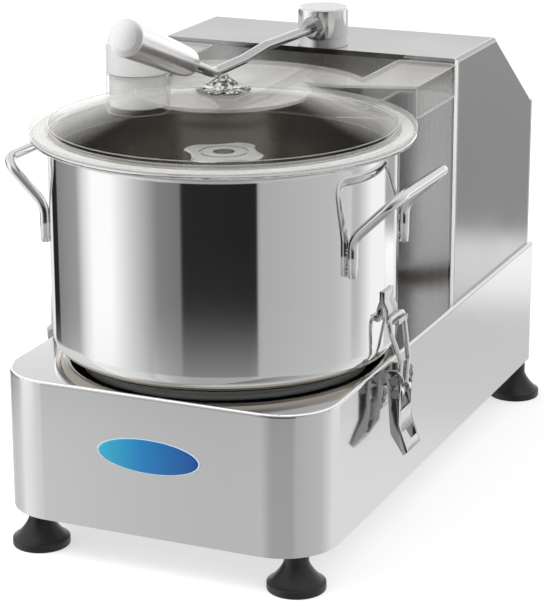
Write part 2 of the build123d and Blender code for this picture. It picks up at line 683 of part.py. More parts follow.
def make_arm_rod():
    points = [(0, y, z) for y, z in ARM_POINTS]
    points.append((0, GRIP_START_Y - GRIP_SOCKET * cos(radians(GRIP_TILT)),
                   GRIP_START_Z + GRIP_SOCKET * sin(radians(GRIP_TILT))))
    straight = bar_y(ARM_ROD, POST_Y - CAP_RADIUS - 8, ARM_POINTS[0][0], 0, ARM_ROD_Z)
    begin = (0, POST_Y - CAP_RADIUS - 8, ARM_ROD_Z)
    return straight + bent_rod([begin] + points[1:], ARM_ROD, ARM_BENDS)


def make_arm_nut():
    y = POST_Y - CAP_RADIUS - 1.6
    nut = Pos(0, y, ARM_ROD_Z) * Rot(90, 0, 0) * extrude(RegularPolygon(7.6, 6), amount=6)
    return nut - bar_y(ARM_ROD, y - 20, y + 20, 0, ARM_ROD_Z)


def make_arm_washer():
    """A dished washer shaped to the round cap on one side and flat on the other."""
    y = POST_Y - CAP_RADIUS - 1.6
    washer = bar_y(9.5, y, y + 5, 0, ARM_ROD_Z) - disc(CAP_RADIUS, 300, 400, 0, POST_Y)
    return washer - bar_y(ARM_ROD, y - 20, y + 20, 0, ARM_ROD_Z)


def make_arm_grip():
    """A turned grip, widest at its free end, with a rounded shoulder at the rod."""
    length = GRIP_LENGTH
    end = GRIP_END_RADIUS
    side = Spline((5.0, 0, 0), (10.0, 0, 6.0), (11.6, 0, 24.0), (12.6, 0, 70.0), (end, 0, length - 0.8),
                  tangents=[(1, 0, 0.12), (0.01, 0, 1)])
    shoulder = end - 0.8
    dome_radius = (shoulder ** 2 + GRIP_DOME ** 2) / (2 * GRIP_DOME)
    dome_middle = length + GRIP_DOME - dome_radius + sqrt(dome_radius ** 2 - shoulder ** 2 / 4)
    closing = Line((end, 0, length - 0.8), (shoulder, 0, length))
    closing += ThreePointArc((shoulder, 0, length), (shoulder / 2, 0, dome_middle), (0, 0, length + GRIP_DOME))
    closing += Polyline((0, 0, length + GRIP_DOME), (0, 0, 0), (5.0, 0, 0))
    grip = revolve(make_face(side + closing), Axis.Z)
    grip -= Pos(0, 0, GRIP_SOCKET / 2 - 5) * Cylinder(ARM_ROD, GRIP_SOCKET + 10)
    return Pos(0, GRIP_START_Y, GRIP_START_Z) * Rot(90 - GRIP_TILT, 0, 0) * grip


# ---------------------------------------------------------------- knives
def make_spindle():
    return disc(SPINDLE_RADIUS, SPINDLE_BOTTOM, HUB_TOP) + disc(SPINDLE_STUD_RADIUS, HUB_TOP, SPINDLE_STUD_TOP)


def make_bearing_housing():
    """A flanged housing under the top sheet with a neck that stands up inside the bowl's tube."""
    under = BASE_TOP - SHEET
    housing = disc(32, 88, under - 6) + disc(46, under - 6, under) + disc(NECK_RADIUS, under, NECK_TOP)
    housing -= disc(12.0, 80, NECK_TOP + 5)
    housing -= disc(20.0, 87, 100)
    return housing - disc(17.5, NECK_TOP - 15, NECK_TOP + 1)


def make_bearings():
    """Ball bearings of the spindle and of the motor shaft."""
    spindle_bore = SPINDLE_RADIUS + BEARING_GAP
    motor_bore = MOTOR_SHAFT_RADIUS + BEARING_GAP
    lower = ring(20.0, spindle_bore, 88, 100)
    upper = ring(17.5, spindle_bore, NECK_TOP - 15, NECK_TOP - 5)
    drive_end = ring(MOTOR_BEARING_RADIUS, motor_bore, 151, 160, 0, MOTOR_Y)
    far_end = ring(MOTOR_BEARING_RADIUS, motor_bore, 262, 271, 0, MOTOR_Y)
    return group(lower, upper, drive_end, far_end)


def make_shaft_seal():
    return ring(17.5, SPINDLE_RADIUS + BEARING_GAP, NECK_TOP - 5, NECK_TOP)


def make_blade_hub():
    hub = disc(HUB_OUTER, HUB_BOTTOM, HUB_TOP) + disc(HUB_FLANGE, HUB_BOTTOM, LOWER_BLADE_Z)
    hub -= disc(HUB_INNER, HUB_BOTTOM - 1, HUB_TOP - 6)
    return hub - disc(SPINDLE_RADIUS, 0, 400)


def make_blade(z, turn):
    """A two-armed knife: hub ring and swept arms whose leading edges curve back."""
    tip = BLADE_TIP
    arm = Polyline((20, -16), (40, -20)) + ThreePointArc((40, -20), (90, -10), (tip * 0.985, 20))
    arm += Line((tip * 0.985, 20), (tip * 0.95, 32))
    arm += ThreePointArc((tip * 0.95, 32), (80, 14), (40, 20)) + Polyline((40, 20), (20, 16), (20, -16))
    flat = make_face(arm)
    outline = Circle(HUB_FLANGE) + flat + Rot(0, 0, 180) * flat
    blade = upright(outline, z, z + BLADE_THICKNESS)
    for half_turn in (0, 180):
        bevel = Polyline((40, -20.2), (40, -17)) + ThreePointArc((40, -17), (90, -6), (tip, 24))
        bevel += Line((tip, 24), (tip, 18)) + ThreePointArc((tip, 18), (90, -11), (40, -20.2))
        cut = upright(Rot(0, 0, half_turn) * make_face(bevel), z + BLADE_THICKNESS / 2, z + BLADE_THICKNESS + 1)
        blade -= cut
    blade -= disc(HUB_OUTER, z - 5, z + 10)
    return Rot(0, 0, turn) * blade


def make_blade_spacers():
    lower = ring(HUB_FLANGE - 2, HUB_OUTER, LOWER_BLADE_Z + BLADE_THICKNESS, UPPER_BLADE_Z)
    upper = ring(HUB_FLANGE - 2, HUB_OUTER, UPPER_BLADE_Z + BLADE_THICKNESS, HUB_TOP)
    return group(lower, upper)


def star_outline():
    """Four broad lobes with shallow waists between them."""
    lobe = STAR_RADIUS
    waist = STAR_RADIUS * 0.80
    outline = None
    for k in range(4):
        a = radians(90 * k - 10)
        spread = radians(17)
        p0 = (lobe * cos(a - spread), lobe * sin(a - spread))
        p1 = (lobe * 1.03 * cos(a), lobe * 1.03 * sin(a))
        p2 = (lobe * cos(a + spread), lobe * sin(a + spread))
        b = a + pi / 4
        p3 = (waist * cos(b), waist * sin(b))
        c = a + pi / 2 - spread
        p4 = (lobe * cos(c), lobe * sin(c))
        piece = ThreePointArc(p0, p1, p2) + ThreePointArc(p2, p3, p4)
        outline = piece if outline is None else outline + piece
    face = make_face(outline)
    return fillet(face.vertices(), 3.0)


def make_star_knob():
    """The nut that holds the knives down, with a lobed head."""
    knob = disc(HUB_FLANGE - 2, HUB_TOP, HUB_TOP + 6) + disc(22, HUB_TOP + 6, STAR_LOBE_BOTTOM)
    head = upright(star_outline(), STAR_LOBE_BOTTOM, STAR_TOP)
    head = fillet(head.faces().sort_by(Axis.Z)[-1].edges(), 2.0)
    knob += head
    knob -= ring(19.5, 17.5, STAR_TOP - 1.2, STAR_TOP + 1)
    knob -= disc(8.5, STAR_TOP - 7, STAR_TOP + 1)
    return knob - disc(SPINDLE_STUD_RADIUS, HUB_TOP - 1, SPINDLE_STUD_TOP)


# ---------------------------------------------------------------- drive
def make_pulley(radius, bore, y):
    """A flat-belt pulley with a flange at each end and four lightening holes."""
    top = PULLEY_Z + PULLEY_HEIGHT
    flange = radius + PULLEY_FLANGE
    wheel = disc(radius, PULLEY_Z, top, 0, y)
    wheel += disc(flange, PULLEY_Z, PULLEY_Z + PULLEY_RIM, 0, y) + disc(flange, top - PULLEY_RIM, top, 0, y)
    wheel -= disc(bore, PULLEY_Z - 1, top + 1, 0, y)
    middle = (radius + bore) / 2
    for k in range(4):
        a = radians(45 + 90 * k)
        wheel -= disc((radius - bore) * 0.25, PULLEY_Z - 1, top + 1, middle * cos(a), y + middle * sin(a))
    return wheel


def belt_outline(extra):
    """The band round both pulleys: two arcs and the two straight runs that touch them."""
    r1 = DRIVEN_PULLEY_RADIUS + extra
    r2 = MOTOR_PULLEY_RADIUS + extra
    lean = (r1 - r2) / MOTOR_Y
    c = sqrt(1 - lean ** 2)
    a = (r1 * c, r1 * lean)
    b = (r2 * c, MOTOR_Y + r2 * lean)
    lines = Line(a, b) + ThreePointArc(b, (0, MOTOR_Y + r2), (-b[0], b[1]))
    lines += Line((-b[0], b[1]), (-a[0], a[1])) + ThreePointArc((-a[0], a[1]), (0, -r1), a)
    return make_face(lines)


def make_drive_belt():
    z0 = PULLEY_Z + PULLEY_RIM + 0.5
    z1 = PULLEY_Z + PULLEY_HEIGHT - PULLEY_RIM - 0.5
    return upright(belt_outline(BELT_GAP + BELT_THICKNESS), z0, z1) - upright(belt_outline(BELT_GAP), z0 - 1, z1 + 1)


def make_motor_mount_plate():
    plate = block(-90, 90, MOTOR_Y - 75, MOTOR_Y + 75, BASE_TOP, MOTOR_PLATE_TOP)
    plate = fillet(plate.edges().filter_by(Axis.Z), 10)
    return plate - disc(14, BASE_TOP - 1, MOTOR_PLATE_TOP + 1, 0, MOTOR_Y)


def make_motor_housing():
    """A finned tube round the stator."""
    inner = MOTOR_RADIUS - MOTOR_WALL
    body = disc(MOTOR_RADIUS - 2.5, MOTOR_BODY_BOTTOM, MOTOR_BODY_TOP, 0, MOTOR_Y)
    for k in range(24):
        fin = block(inner, MOTOR_RADIUS, -1.2, 1.2, MOTOR_BODY_BOTTOM + 6, MOTOR_BODY_TOP - 6)
        body += Pos(0, MOTOR_Y, 0) * Rot(0, 0, 15 * k) * fin
    return body - disc(inner, MOTOR_BODY_BOTTOM - 1, MOTOR_BODY_TOP + 1, 0, MOTOR_Y)


def make_motor_stator():
    return ring(MOTOR_RADIUS - MOTOR_WALL, ROTOR_RADIUS + 0.5, 175, 247, 0, MOTOR_Y)


def make_motor_end_shields():
    lower = ring(MOTOR_RADIUS, MOTOR_BEARING_RADIUS, MOTOR_PLATE_TOP, MOTOR_BODY_BOTTOM, 0, MOTOR_Y)
    upper = ring(MOTOR_RADIUS, MOTOR_BEARING_RADIUS, MOTOR_BODY_TOP, MOTOR_SHIELD_TOP, 0, MOTOR_Y)
    return group(lower, upper)


def make_motor_shaft():
    return disc(MOTOR_SHAFT_RADIUS, SPINDLE_BOTTOM, 288, 0, MOTOR_Y)


def make_motor_rotor():
    return ring(ROTOR_RADIUS, MOTOR_SHAFT_RADIUS, 178, 244, 0, MOTOR_Y)


def make_cooling_fan():
    fan = ring(12, MOTOR_SHAFT_RADIUS, 274, 288, 0, MOTOR_Y) + ring(42, 11, 274, 275.5, 0, MOTOR_Y)
    for k in range(8):
        vane = block(11, 41, -0.8, 0.8, 275, 287)
        fan += Pos(0, MOTOR_Y, 0) * Rot(0, 0, 45 * k) * vane
    return fan


def make_circuit_board():
    board = block(-122, -120.4, 205, 335, 165, 250)
    for y0, y1, z0, z1, depth in ((215, 240, 175, 200, 18), (250, 275, 175, 200, 18), (215, 260, 215, 240, 12),
                                  (285, 325, 185, 235, 26)):
        board += block(-120.6, -120.6 + depth, y0, y1, z0, z1)
    for y in (210, 330):
        for z in (170, 245):
            board += bar_x(2.5, -TOWER_HALF_WIDTH + SHEET, -121, y, z)
    return board


def make_run_capacitor():
    x, y = CAPACITOR_PLACE
    top = BASE_TOP + 78
    can = disc(19, BASE_TOP, top, x, y)
    can = fillet(can.faces().sort_by(Axis.Z)[-1].edges(), 3)
    for side in (-6, 3):
        can += block(x + side, x + side + 3, y - 7, y + 7, top - 1, top + 10)
    return can


def make_lid_switch():
    top = TOWER_TOP - SHEET
    switch = block(88, 112, TOWER_FRONT + 7, TOWER_FRONT + 27, top - 40, top)
    return switch + bar_y(3.0, TOWER_FRONT + TOWER_LIP_DEPTH + SHEET, TOWER_FRONT + 8, 100, top - 20)


# ---------------------------------------------------------------- writing
def make_all():
    lever = make_latch_lever()
    bail = make_bail()
    bail_pin = make_bail_pin()
    return {
        "base_housing": make_base_housing(),
        "base_bottom_plate": make_base_bottom_plate(),
        "tower_shell": make_tower_shell(),
        "tower_front_panel": make_tower_front_panel(),
        "tower_rear_cover": make_tower_rear_cover(),
        "panel_screws": make_panel_screws(),
        "rubber_feet": make_rubber_feet(),
        "foot_screws": make_foot_screws(),
        "badge": make_badge(),
        "cable_gland": make_cable_gland(),
        "switch_panel": make_switch_panel(),
        "switch_contacts": make_switch_contacts(),
        "start_button": make_button(START_Y, BUTTON_RADIUS, 1.5 + 1),
        "stop_button": make_button(STOP_Y, BUTTON_RADIUS + 2.5, 4.0),
        "bowl": make_bowl(),
        "bowl_seat_ring": make_bowl_seat_ring(),
        "bowl_handles": make_bowl_handles(),
        "bowl_hooks": make_bowl_hooks(),
        "latch_brackets": make_latch_brackets(),
        "latch_pivot_pins": make_latch_pivot_pins(),
        "latch_lever_right": lever,
        "latch_lever_left": mirrored(lever),
        "bail_right": bail,
        "bail_left": mirrored(bail),
        "bail_pin_right": bail_pin,
        "bail_pin_left": mirrored(bail_pin),
        "lid": make_lid(),
        "lid_centring_ring": make_lid_centring_ring(),
        "lid_gasket": make_lid_gasket(),
        "lid_button": make_lid_button(),
        "feed_stopper": make_feed_stopper(),
        "arm_bushing": make_arm_bushing(),
        "arm_post": make_arm_post(),
        "arm_cap": make_arm_cap(),
        "arm_rod": make_arm_rod(),
        "arm_nut": make_arm_nut(),
        "arm_washer": make_arm_washer(),
        "arm_grip": make_arm_grip(),
        "spindle": make_spindle(),
        "bearing_housing": make_bearing_housing(),
        "bearings": make_bearings(),
        "shaft_seal": make_shaft_seal(),
        "blade_hub": make_blade_hub(),
        "lower_blade": make_blade(LOWER_BLADE_Z, 0),
        "upper_blade": make_blade(UPPER_BLADE_Z, 0),
        "blade_spacers": make_blade_spacers(),
        "star_knob": make_star_knob(),
        "driven_pulley": make_pulley(DRIVEN_PULLEY_RADIUS, SPINDLE_RADIUS, 0),
        "motor_pulley": make_pulley(MOTOR_PULLEY_RADIUS, MOTOR_SHAFT_RADIUS, MOTOR_Y),
        "drive_belt": make_drive_belt(),
        "motor_mount_plate": make_motor_mount_plate(),
        "motor_housing": make_motor_housing(),
        "motor_stator": make_motor_stator(),
        "motor_end_shields": make_motor_end_shields(),
        "motor_shaft": make_motor_shaft(),
        "motor_rotor": make_motor_rotor(),
        "cooling_fan": make_cooling_fan(),
        "circuit_board": make_circuit_board(),
        "run_capacitor": make_run_capacitor(),
        "lid_switch": make_lid_switch(),
    }


os.makedirs("parts", exist_ok=True)
for node, solid in make_all().items():
    export_step(Pos(0, BOWL_Y, 0) * solid, f"parts/{node}.step")
print("bowl axis at y =", round(BOWL_Y, 3))
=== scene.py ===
"""Looks of the bench-top bowl cutter: polished bowl, satin casing, clear lid and locking arm.

New pieces are surfaces worked out with numpy, either a profile turned about an axis or a
section carried along a path. Sizes are in millimetres, laid out about the bowl's axis and
moved to the frame's metres when a mesh is made.
"""

import json
from math import cos, hypot, pi, radians, sin, sqrt

import bmesh
import bpy
import numpy as np
from mathutils import Matrix, Vector

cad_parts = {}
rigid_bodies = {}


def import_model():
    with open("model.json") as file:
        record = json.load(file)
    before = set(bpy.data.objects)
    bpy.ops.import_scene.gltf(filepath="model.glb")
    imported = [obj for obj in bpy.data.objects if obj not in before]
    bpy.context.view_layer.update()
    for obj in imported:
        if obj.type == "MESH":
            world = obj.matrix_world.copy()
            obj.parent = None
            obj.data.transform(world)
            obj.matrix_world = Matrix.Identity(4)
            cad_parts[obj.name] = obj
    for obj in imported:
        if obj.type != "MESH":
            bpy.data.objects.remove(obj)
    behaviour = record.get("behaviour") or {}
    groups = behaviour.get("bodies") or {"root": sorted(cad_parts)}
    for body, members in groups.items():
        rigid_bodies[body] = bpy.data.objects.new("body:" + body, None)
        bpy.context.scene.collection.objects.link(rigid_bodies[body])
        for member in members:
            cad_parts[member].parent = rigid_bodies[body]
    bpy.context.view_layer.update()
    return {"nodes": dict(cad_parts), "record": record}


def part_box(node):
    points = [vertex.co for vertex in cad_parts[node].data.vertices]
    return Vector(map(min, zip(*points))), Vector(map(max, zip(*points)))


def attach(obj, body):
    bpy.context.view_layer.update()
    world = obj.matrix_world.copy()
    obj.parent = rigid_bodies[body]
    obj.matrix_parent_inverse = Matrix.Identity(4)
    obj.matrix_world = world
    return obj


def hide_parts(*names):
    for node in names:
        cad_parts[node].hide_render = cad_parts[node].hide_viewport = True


for left_over in list(bpy.data.objects):
    bpy.data.objects.remove(left_over)

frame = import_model()

MM = 0.001
LOW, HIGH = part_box("bowl")
BOWL_Y = (LOW[1] + HIGH[1]) / 2 / MM        # the bowl's axis in the frame, mm
MERGE = 1e-6                                # points closer than this are one, m
LEVEL_WITHIN = radians(0.5)                 # facets this near to level make one flat
FOLD_OVER = radians(28)                     # an edge sharper than this is folded or cut


# ------------------------------------------------------------------ shaping
def rounded(corners, radii, steps=6):
    """A line through corners, each inner corner turned into an arc that touches both of its
    runs: the two radii to the touching points, each weighted by the sine of the angle to the
    other one. A short straight piece beside each arc keeps the flats flat when shaded."""
    corners = np.asarray(corners, float)
    line = [corners[:1]]
    for before, corner, after, radius in zip(corners[:-2], corners[1:-1], corners[2:], radii):
        run_in, run_out = np.linalg.norm(before - corner), np.linalg.norm(after - corner)
        back, ahead = (before - corner) / run_in, (after - corner) / run_out
        half = np.arccos(np.clip(back @ ahead, -1, 1)) / 2
        reach = radius / np.tan(half)
        centre = corner + (back + ahead) / np.linalg.norm(back + ahead) * radius / np.sin(half)
        start = corner + back * reach - centre
        end = corner + ahead * reach - centre
        sweep = pi - 2 * half
        t = np.linspace(0, 1, steps + 1)[:, None]
        arc = (np.sin((1 - t) * sweep) * start + np.sin(t * sweep) * end) / np.sin(sweep)
        ease = min(0.25 * radius, 0.2 * run_in, 0.2 * run_out)
        line += [(corner + back * (reach + ease))[None], centre + arc,
                 (corner + ahead * (reach + ease))[None]]
    line.append(corners[-1:])
    return np.concatenate(line)


def smooth_through(points, steps):
    """A Catmull-Rom line through points: each span is a cubic whose slope at a point is half
    the step between that point's neighbours."""
    points = np.asarray(points, float)
    around = np.concatenate([2 * points[:1] - points[1:2], points, 2 * points[-1:] - points[-2:-1]])
    a, b, c, d = (around[k:len(around) - 3 + k, None] for k in range(4))
    t = np.linspace(0, 1, steps, endpoint=False)[None, :, None]
    spans = (b + t * (c - a) / 2 + t ** 2 * (a - 2.5 * b + 2 * c - d / 2)
             + t ** 3 * (1.5 * b - a / 2 - 1.5 * c + d / 2))
    return np.concatenate([spans.reshape(-1, points.shape[1]), points[-1:]])


def spun(profile, around):
    """A profile of (radius, height) carried round the upright axis: for each of its points a
    ring of so many points, at the radius times the cosine and the sine of the bearing."""
    profile = np.asarray(profile, float)
    angle = np.linspace(0, 2 * pi, around, endpoint=False)
    radius, height = profile[:, :1], profile[:, 1:]
    return np.stack([radius * np.cos(angle), radius * np.sin(angle), height + 0 * angle], -1)


def rod(path, radius, beside, ends, around):
    """A round section carried along a path. At each point the section lies square to the
    path, its first direction square to the vector beside as well; the flat ends have their
    edges broken by the width given as ends. Returned with False: its two ends don't meet."""
    path = np.asarray(path, float)
    way = np.gradient(path, axis=0)
    way /= np.linalg.norm(way, axis=1, keepdims=True)
    path = np.concatenate([path[:1], path[:1], path[:1] + way[:1] * ends, path[1:-1],
                           path[-1:] - way[-1:] * ends, path[-1:], path[-1:]])
    way = np.concatenate([way[:1], way[:1], way, way[-1:], way[-1:]])
    size = np.full(len(path), float(radius))
    size[[0, -1]] = 0.0
    size[[1, -2]] = radius - ends
    first = np.cross(way, beside)
    first /= np.linalg.norm(first, axis=1, keepdims=True)
    second = np.cross(way, first)
    angle = np.linspace(0, 2 * pi, around, endpoint=False)[None, :, None]
    section = first[:, None] * np.cos(angle) + second[:, None] * np.sin(angle)
    return path[:, None] + size[:, None, None] * section, False


# ------------------------------------------------------------------ meshes
def into_scene(name, data):
    """A new object in the scene, at the origin, unturned and unscaled."""
    thing = bpy.data.objects.new(name, data)
    bpy.context.scene.collection.objects.link(thing)
    return thing


def make_mesh(name, points, faces):
    """An object whose vertices are given in mm about the bowl's axis, shaded smooth."""
    points = (np.asarray(points, float).reshape(-1, 3) + (0, BOWL_Y, 0)) * MM
    mesh = bpy.data.meshes.new(name)
    mesh.from_pydata(points.tolist(), [], faces)
    mesh.polygons.foreach_set("use_smooth", [True] * len(mesh.polygons))
    mesh.update()
    return into_scene(name, mesh)


def grid_faces(rows, around, ends_meet, first=0):
    """Quads between neighbours of a grid whose rows are rings of so many points; the last
    row is joined to the first one where the ends meet."""
    i = np.arange(rows if ends_meet else rows - 1)[:, None]
    j = np.arange(around)[None, :]
    i2, j2 = (i + 1) % rows, (j + 1) % around
    corners = (i * around + j, i * around + j2, i2 * around + j2, i2 * around + j)
    return (np.stack(np.broadcast_arrays(*corners), -1).reshape(-1, 4) + first).tolist()


def tidy(piece):
    """Closes seams and poles and points every face outwards."""
    shape = bmesh.new()
    shape.from_mesh(piece.data)
    bmesh.ops.remove_doubles(shape, verts=shape.verts, dist=MERGE)
    bmesh.ops.dissolve_degenerate(shape, edges=shape.edges, dist=MERGE)
    bmesh.ops.recalc_face_normals(shape, faces=shape.faces)
    shape.to_mesh(piece.data)
    shape.free()
    return piece


def joined(name, parts):
    """One piece from several grids of rings, each with whether its ends meet."""
    points, faces, first = [], [], 0
    for grid, ends_meet in parts:
        faces += grid_faces(*grid.shape[:2], ends_meet, first)
        points.append(grid.reshape(-1, 3))
        first += len(points[-1])
    return tidy(make_mesh(name, np.concatenate(points), faces))


def turned(name, profile, around, place=(0, 0, 0), tilt=0.0):
    """A profile of (radius, height) turned about its axis, which stands at place and leans by
    tilt about X. A radius of 0 at either end is a pole; otherwise the profile is closed."""
    closed = profile[0][0] > 0
    points = spun(profile[:-1] if closed else profile, around)
    if tilt:
        points = points @ np.array(Matrix.Rotation(tilt, 3, "X")).T
    return joined(name, [(points + place, closed)])


def softened(name, node, width):
    """A copy of a sheet-metal node with its folded and cut edges broken by a narrow bevel."""
    mesh = bpy.data.meshes.new(name)
    shape = bmesh.new()
    shape.from_mesh(frame["nodes"][node].data)
    bmesh.ops.remove_doubles(shape, verts=shape.verts, dist=MERGE)
    bmesh.ops.dissolve_limit(shape, angle_limit=LEVEL_WITHIN, verts=shape.verts,
                             edges=shape.edges)
    shape.to_mesh(mesh)
    shape.free()
    mesh.polygons.foreach_set("use_smooth", [True] * len(mesh.polygons))
    piece = into_scene(name, mesh)
    bevel = piece.modifiers.new("broken_edges", "BEVEL")
    bevel.width = width * MM
    bevel.segments = 2
    bevel.limit_method = "ANGLE"
    bevel.angle_limit = FOLD_OVER
    bevel.harden_normals = True
    return piece


def place_piece(piece, finish, slot, body, *nodes):
    """Gives a new piece its finish and its body, and hides the nodes that it stands for."""
    piece.data.materials.clear()
    piece.data.materials.append(finish)
    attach(piece, body)
    if nodes:
        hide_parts(*nodes)
    return piece


# ------------------------------------------------------------------ parts of a material
MIX_SOCKETS = {"FLOAT": (2, 3, 0), "RGBA": (6, 7, 2)}       # of a Mix node: two ends, result
EVEN = (1, 1, 1)                                            # grain that isn't drawn out
BUMP_DEPTH = 0.00005                                        # m
GLOW_DEPTH = 0.004                                          # light's way into white plastic, m
SKIN_STARTS, SKIN_FULL = 0.60, 0.96                         # 0 faces a clear wall, 1 grazes it


def new_material(name):
    """A material with its nodes, its links and its Principled shader."""
    material = bpy.data.materials.new(name)
    material.use_nodes = True
    nodes = material.node_tree.nodes
    return material, nodes, material.node_tree.links, nodes["Principled BSDF"]


def feed(links, value, socket):
    """Joins a socket to another node's output, or sets it to a plain value."""
    if isinstance(value, bpy.types.NodeSocket):
        links.new(value, socket)
    else:
        socket.default_value = value


def maths(nodes, links, operation, *values):
    """The result of one Math node."""
    node = nodes.new("ShaderNodeMath")
    node.operation = operation
    for value, socket in zip(values, node.inputs):
        feed(links, value, socket)
    return node.outputs[0]


def mixed(nodes, links, kind, factor, first, second):
    """A number or a colour that follows factor from first to second."""
    mix = nodes.new("ShaderNodeMix")
    mix.data_type = kind
    start, end, result = MIX_SOCKETS[kind]
    for value, socket in ((factor, 0), (first, start), (second, end)):
        feed(links, value, mix.inputs[socket])
    return mix.outputs[result]


def tinted(nodes, links, source, dark, light):
    """A colour that follows source from dark to light."""
    return mixed(nodes, links, "RGBA", source, (*dark, 1), (*light, 1))


def ranged(nodes, links, source, low, high, start=0.3, end=0.7, shape="LINEAR"):
    """A value that goes from low to high while source goes from start to end."""
    span = nodes.new("ShaderNodeMapRange")
    span.interpolation_type = shape
    for key, value in (("Value", source), ("From Min", start), ("From Max", end),
                       ("To Min", low), ("To Max", high)):
        feed(links, value, span.inputs[key])
    return span.outputs["Result"]


def ramped(nodes, links, source, stops):
    """A colour ramp along source, from stops of (share, colour)."""
    ramp = nodes.new("ShaderNodeValToRGB")
    elements = ramp.color_ramp.elements
    while len(elements) < len(stops):
        elements.new(0.5)
    for element, (share, colour) in zip(elements, stops):
        element.position = share
        element.color = (*colour, 1)
    links.new(source, ramp.inputs["Fac"])
    return ramp.outputs["Color"]


def stretched_noise(nodes, links, stretch, scale, detail=3.0):
    """Noise on Object coordinates, drawn out along an axis by a Mapping node's scale."""
    place = nodes.new("ShaderNodeTexCoord")
    mapping = nodes.new("ShaderNodeMapping")
    mapping.inputs["Scale"].default_value = stretch
    noise = nodes.new("ShaderNodeTexNoise")
    noise.inputs["Scale"].default_value = scale
    noise.inputs["Detail"].default_value = detail
    links.new(place.outputs["Object"], mapping.inputs["Vector"])
    links.new(mapping.outputs["Vector"], noise.inputs["Vector"])
    return noise.outputs["Fac"]


def bumped(nodes, links, shader, source, strength):
    """A fine relief that follows source."""
    bump = nodes.new("ShaderNodeBump")
    bump.inputs["Strength"].default_value = strength
    bump.inputs["Distance"].default_value = BUMP_DEPTH
    links.new(source, bump.inputs["Height"])
    links.new(bump.outputs["Normal"], shader.inputs["Normal"])


# ------------------------------------------------------------------ kinds of finish
def steel(name, tone, spread, rough, rough_spread, grain, scale, bump=0.0, metallic=1.0):
    """Bare steel: fine lines drawn along the grain change its tone and its gloss a little."""
    material, nodes, links, shader = new_material(name)
    noise = stretched_noise(nodes, links, grain, scale)
    cloud = stretched_noise(nodes, links, EVEN, 9.0, 2.0)
    lines = ranged(nodes, links, noise, 0.0, 1.0)
    light = [t * (1 + spread) for t in tone]
    dark = [t * (1 - spread) for t in tone]
    links.new(tinted(nodes, links, lines, dark, light), shader.inputs["Base Color"])
    lined = ranged(nodes, links, noise, rough - rough_spread, rough + rough_spread)
    clouded = ranged(nodes, links, cloud, -0.25 * rough, 0.25 * rough)
    links.new(maths(nodes, links, "ADD", lined, clouded), shader.inputs["Roughness"])
    shader.inputs["Metallic"].default_value = metallic
    if bump:
        bumped(nodes, links, shader, noise, bump)
    return material


def moulded(name, dark, light, rough, bump=0.1, clear=0.0, ior=1.46, subsurface=0.0):
    """Moulded plastic or rubber with a faint cloud in its colour and a fine skin."""
    material, nodes, links, shader = new_material(name)
    cloud = stretched_noise(nodes, links, EVEN, 14.0, 2.0)
    gloss = ranged(nodes, links, cloud, rough * 0.85, rough * 1.15)
    links.new(tinted(nodes, links, cloud, dark, light), shader.inputs["Base Color"])
    links.new(gloss, shader.inputs["Roughness"])
    shader.inputs["IOR"].default_value = ior
    shader.inputs["Transmission Weight"].default_value = clear
    if subsurface:
        shader.inputs["Subsurface Weight"].default_value = subsurface
        shader.inputs["Subsurface Radius"].default_value = (GLOW_DEPTH,) * 3
    if bump:
        skin = stretched_noise(nodes, links, EVEN, 900.0, 2.0)
        bumped(nodes, links, shader, skin, bump)
    return material


def clear_wall(name, tone, haze, edge):
    """Clear moulding: light passes straight where the wall is faced, and the lower the angle
    the more of it the polished, slightly milky skin returns."""
    material, nodes, links, shader = new_material(name)
    cloud = stretched_noise(nodes, links, EVEN, 12.0, 2.0)
    colour = tinted(nodes, links, cloud, [t * 0.97 for t in tone], tone)
    links.new(colour, shader.inputs["Base Color"])
    shader.inputs["Roughness"].default_value = 0.04
    shader.inputs["IOR"].default_value = 1.49
    glance = nodes.new("ShaderNodeLayerWeight")
    glance.inputs["Blend"].default_value = 0.5
    skin = ranged(nodes, links, glance.outputs["Facing"], haze, edge, SKIN_STARTS, SKIN_FULL)
    links.new(skin, shader.inputs["Alpha"])
    return material


def azure():
    """Blue that deepens from the left end of the badge to the right."""
    material, nodes, links, shader = new_material("badge_azure")
    place = nodes.new("ShaderNodeTexCoord")
    split = nodes.new("ShaderNodeSeparateXYZ")
    links.new(place.outputs["Object"], split.inputs[0])
    share = ranged(nodes, links, split.outputs["X"], 0.0, 1.0,
                   -BADGE_HALF_WIDTH * MM, BADGE_HALF_WIDTH * MM)
    blues = [(0.0, (0.030, 0.44, 0.62)), (0.45, (0.004, 0.20, 0.50)), (1.0, (0.002, 0.06, 0.30))]
    links.new(ramped(nodes, links, share, blues), shader.inputs["Base Color"])
    shader.inputs["Roughness"].default_value = 0.25
    shader.inputs["Coat Weight"].default_value = 0.15
    shader.inputs["Coat Roughness"].default_value = 0.08
    return material


# ------------------------------------------------------------------ this cutter's finishes
BADGE_HALF_WIDTH = 42.6
BADGE_HALF_HEIGHT = 13.4

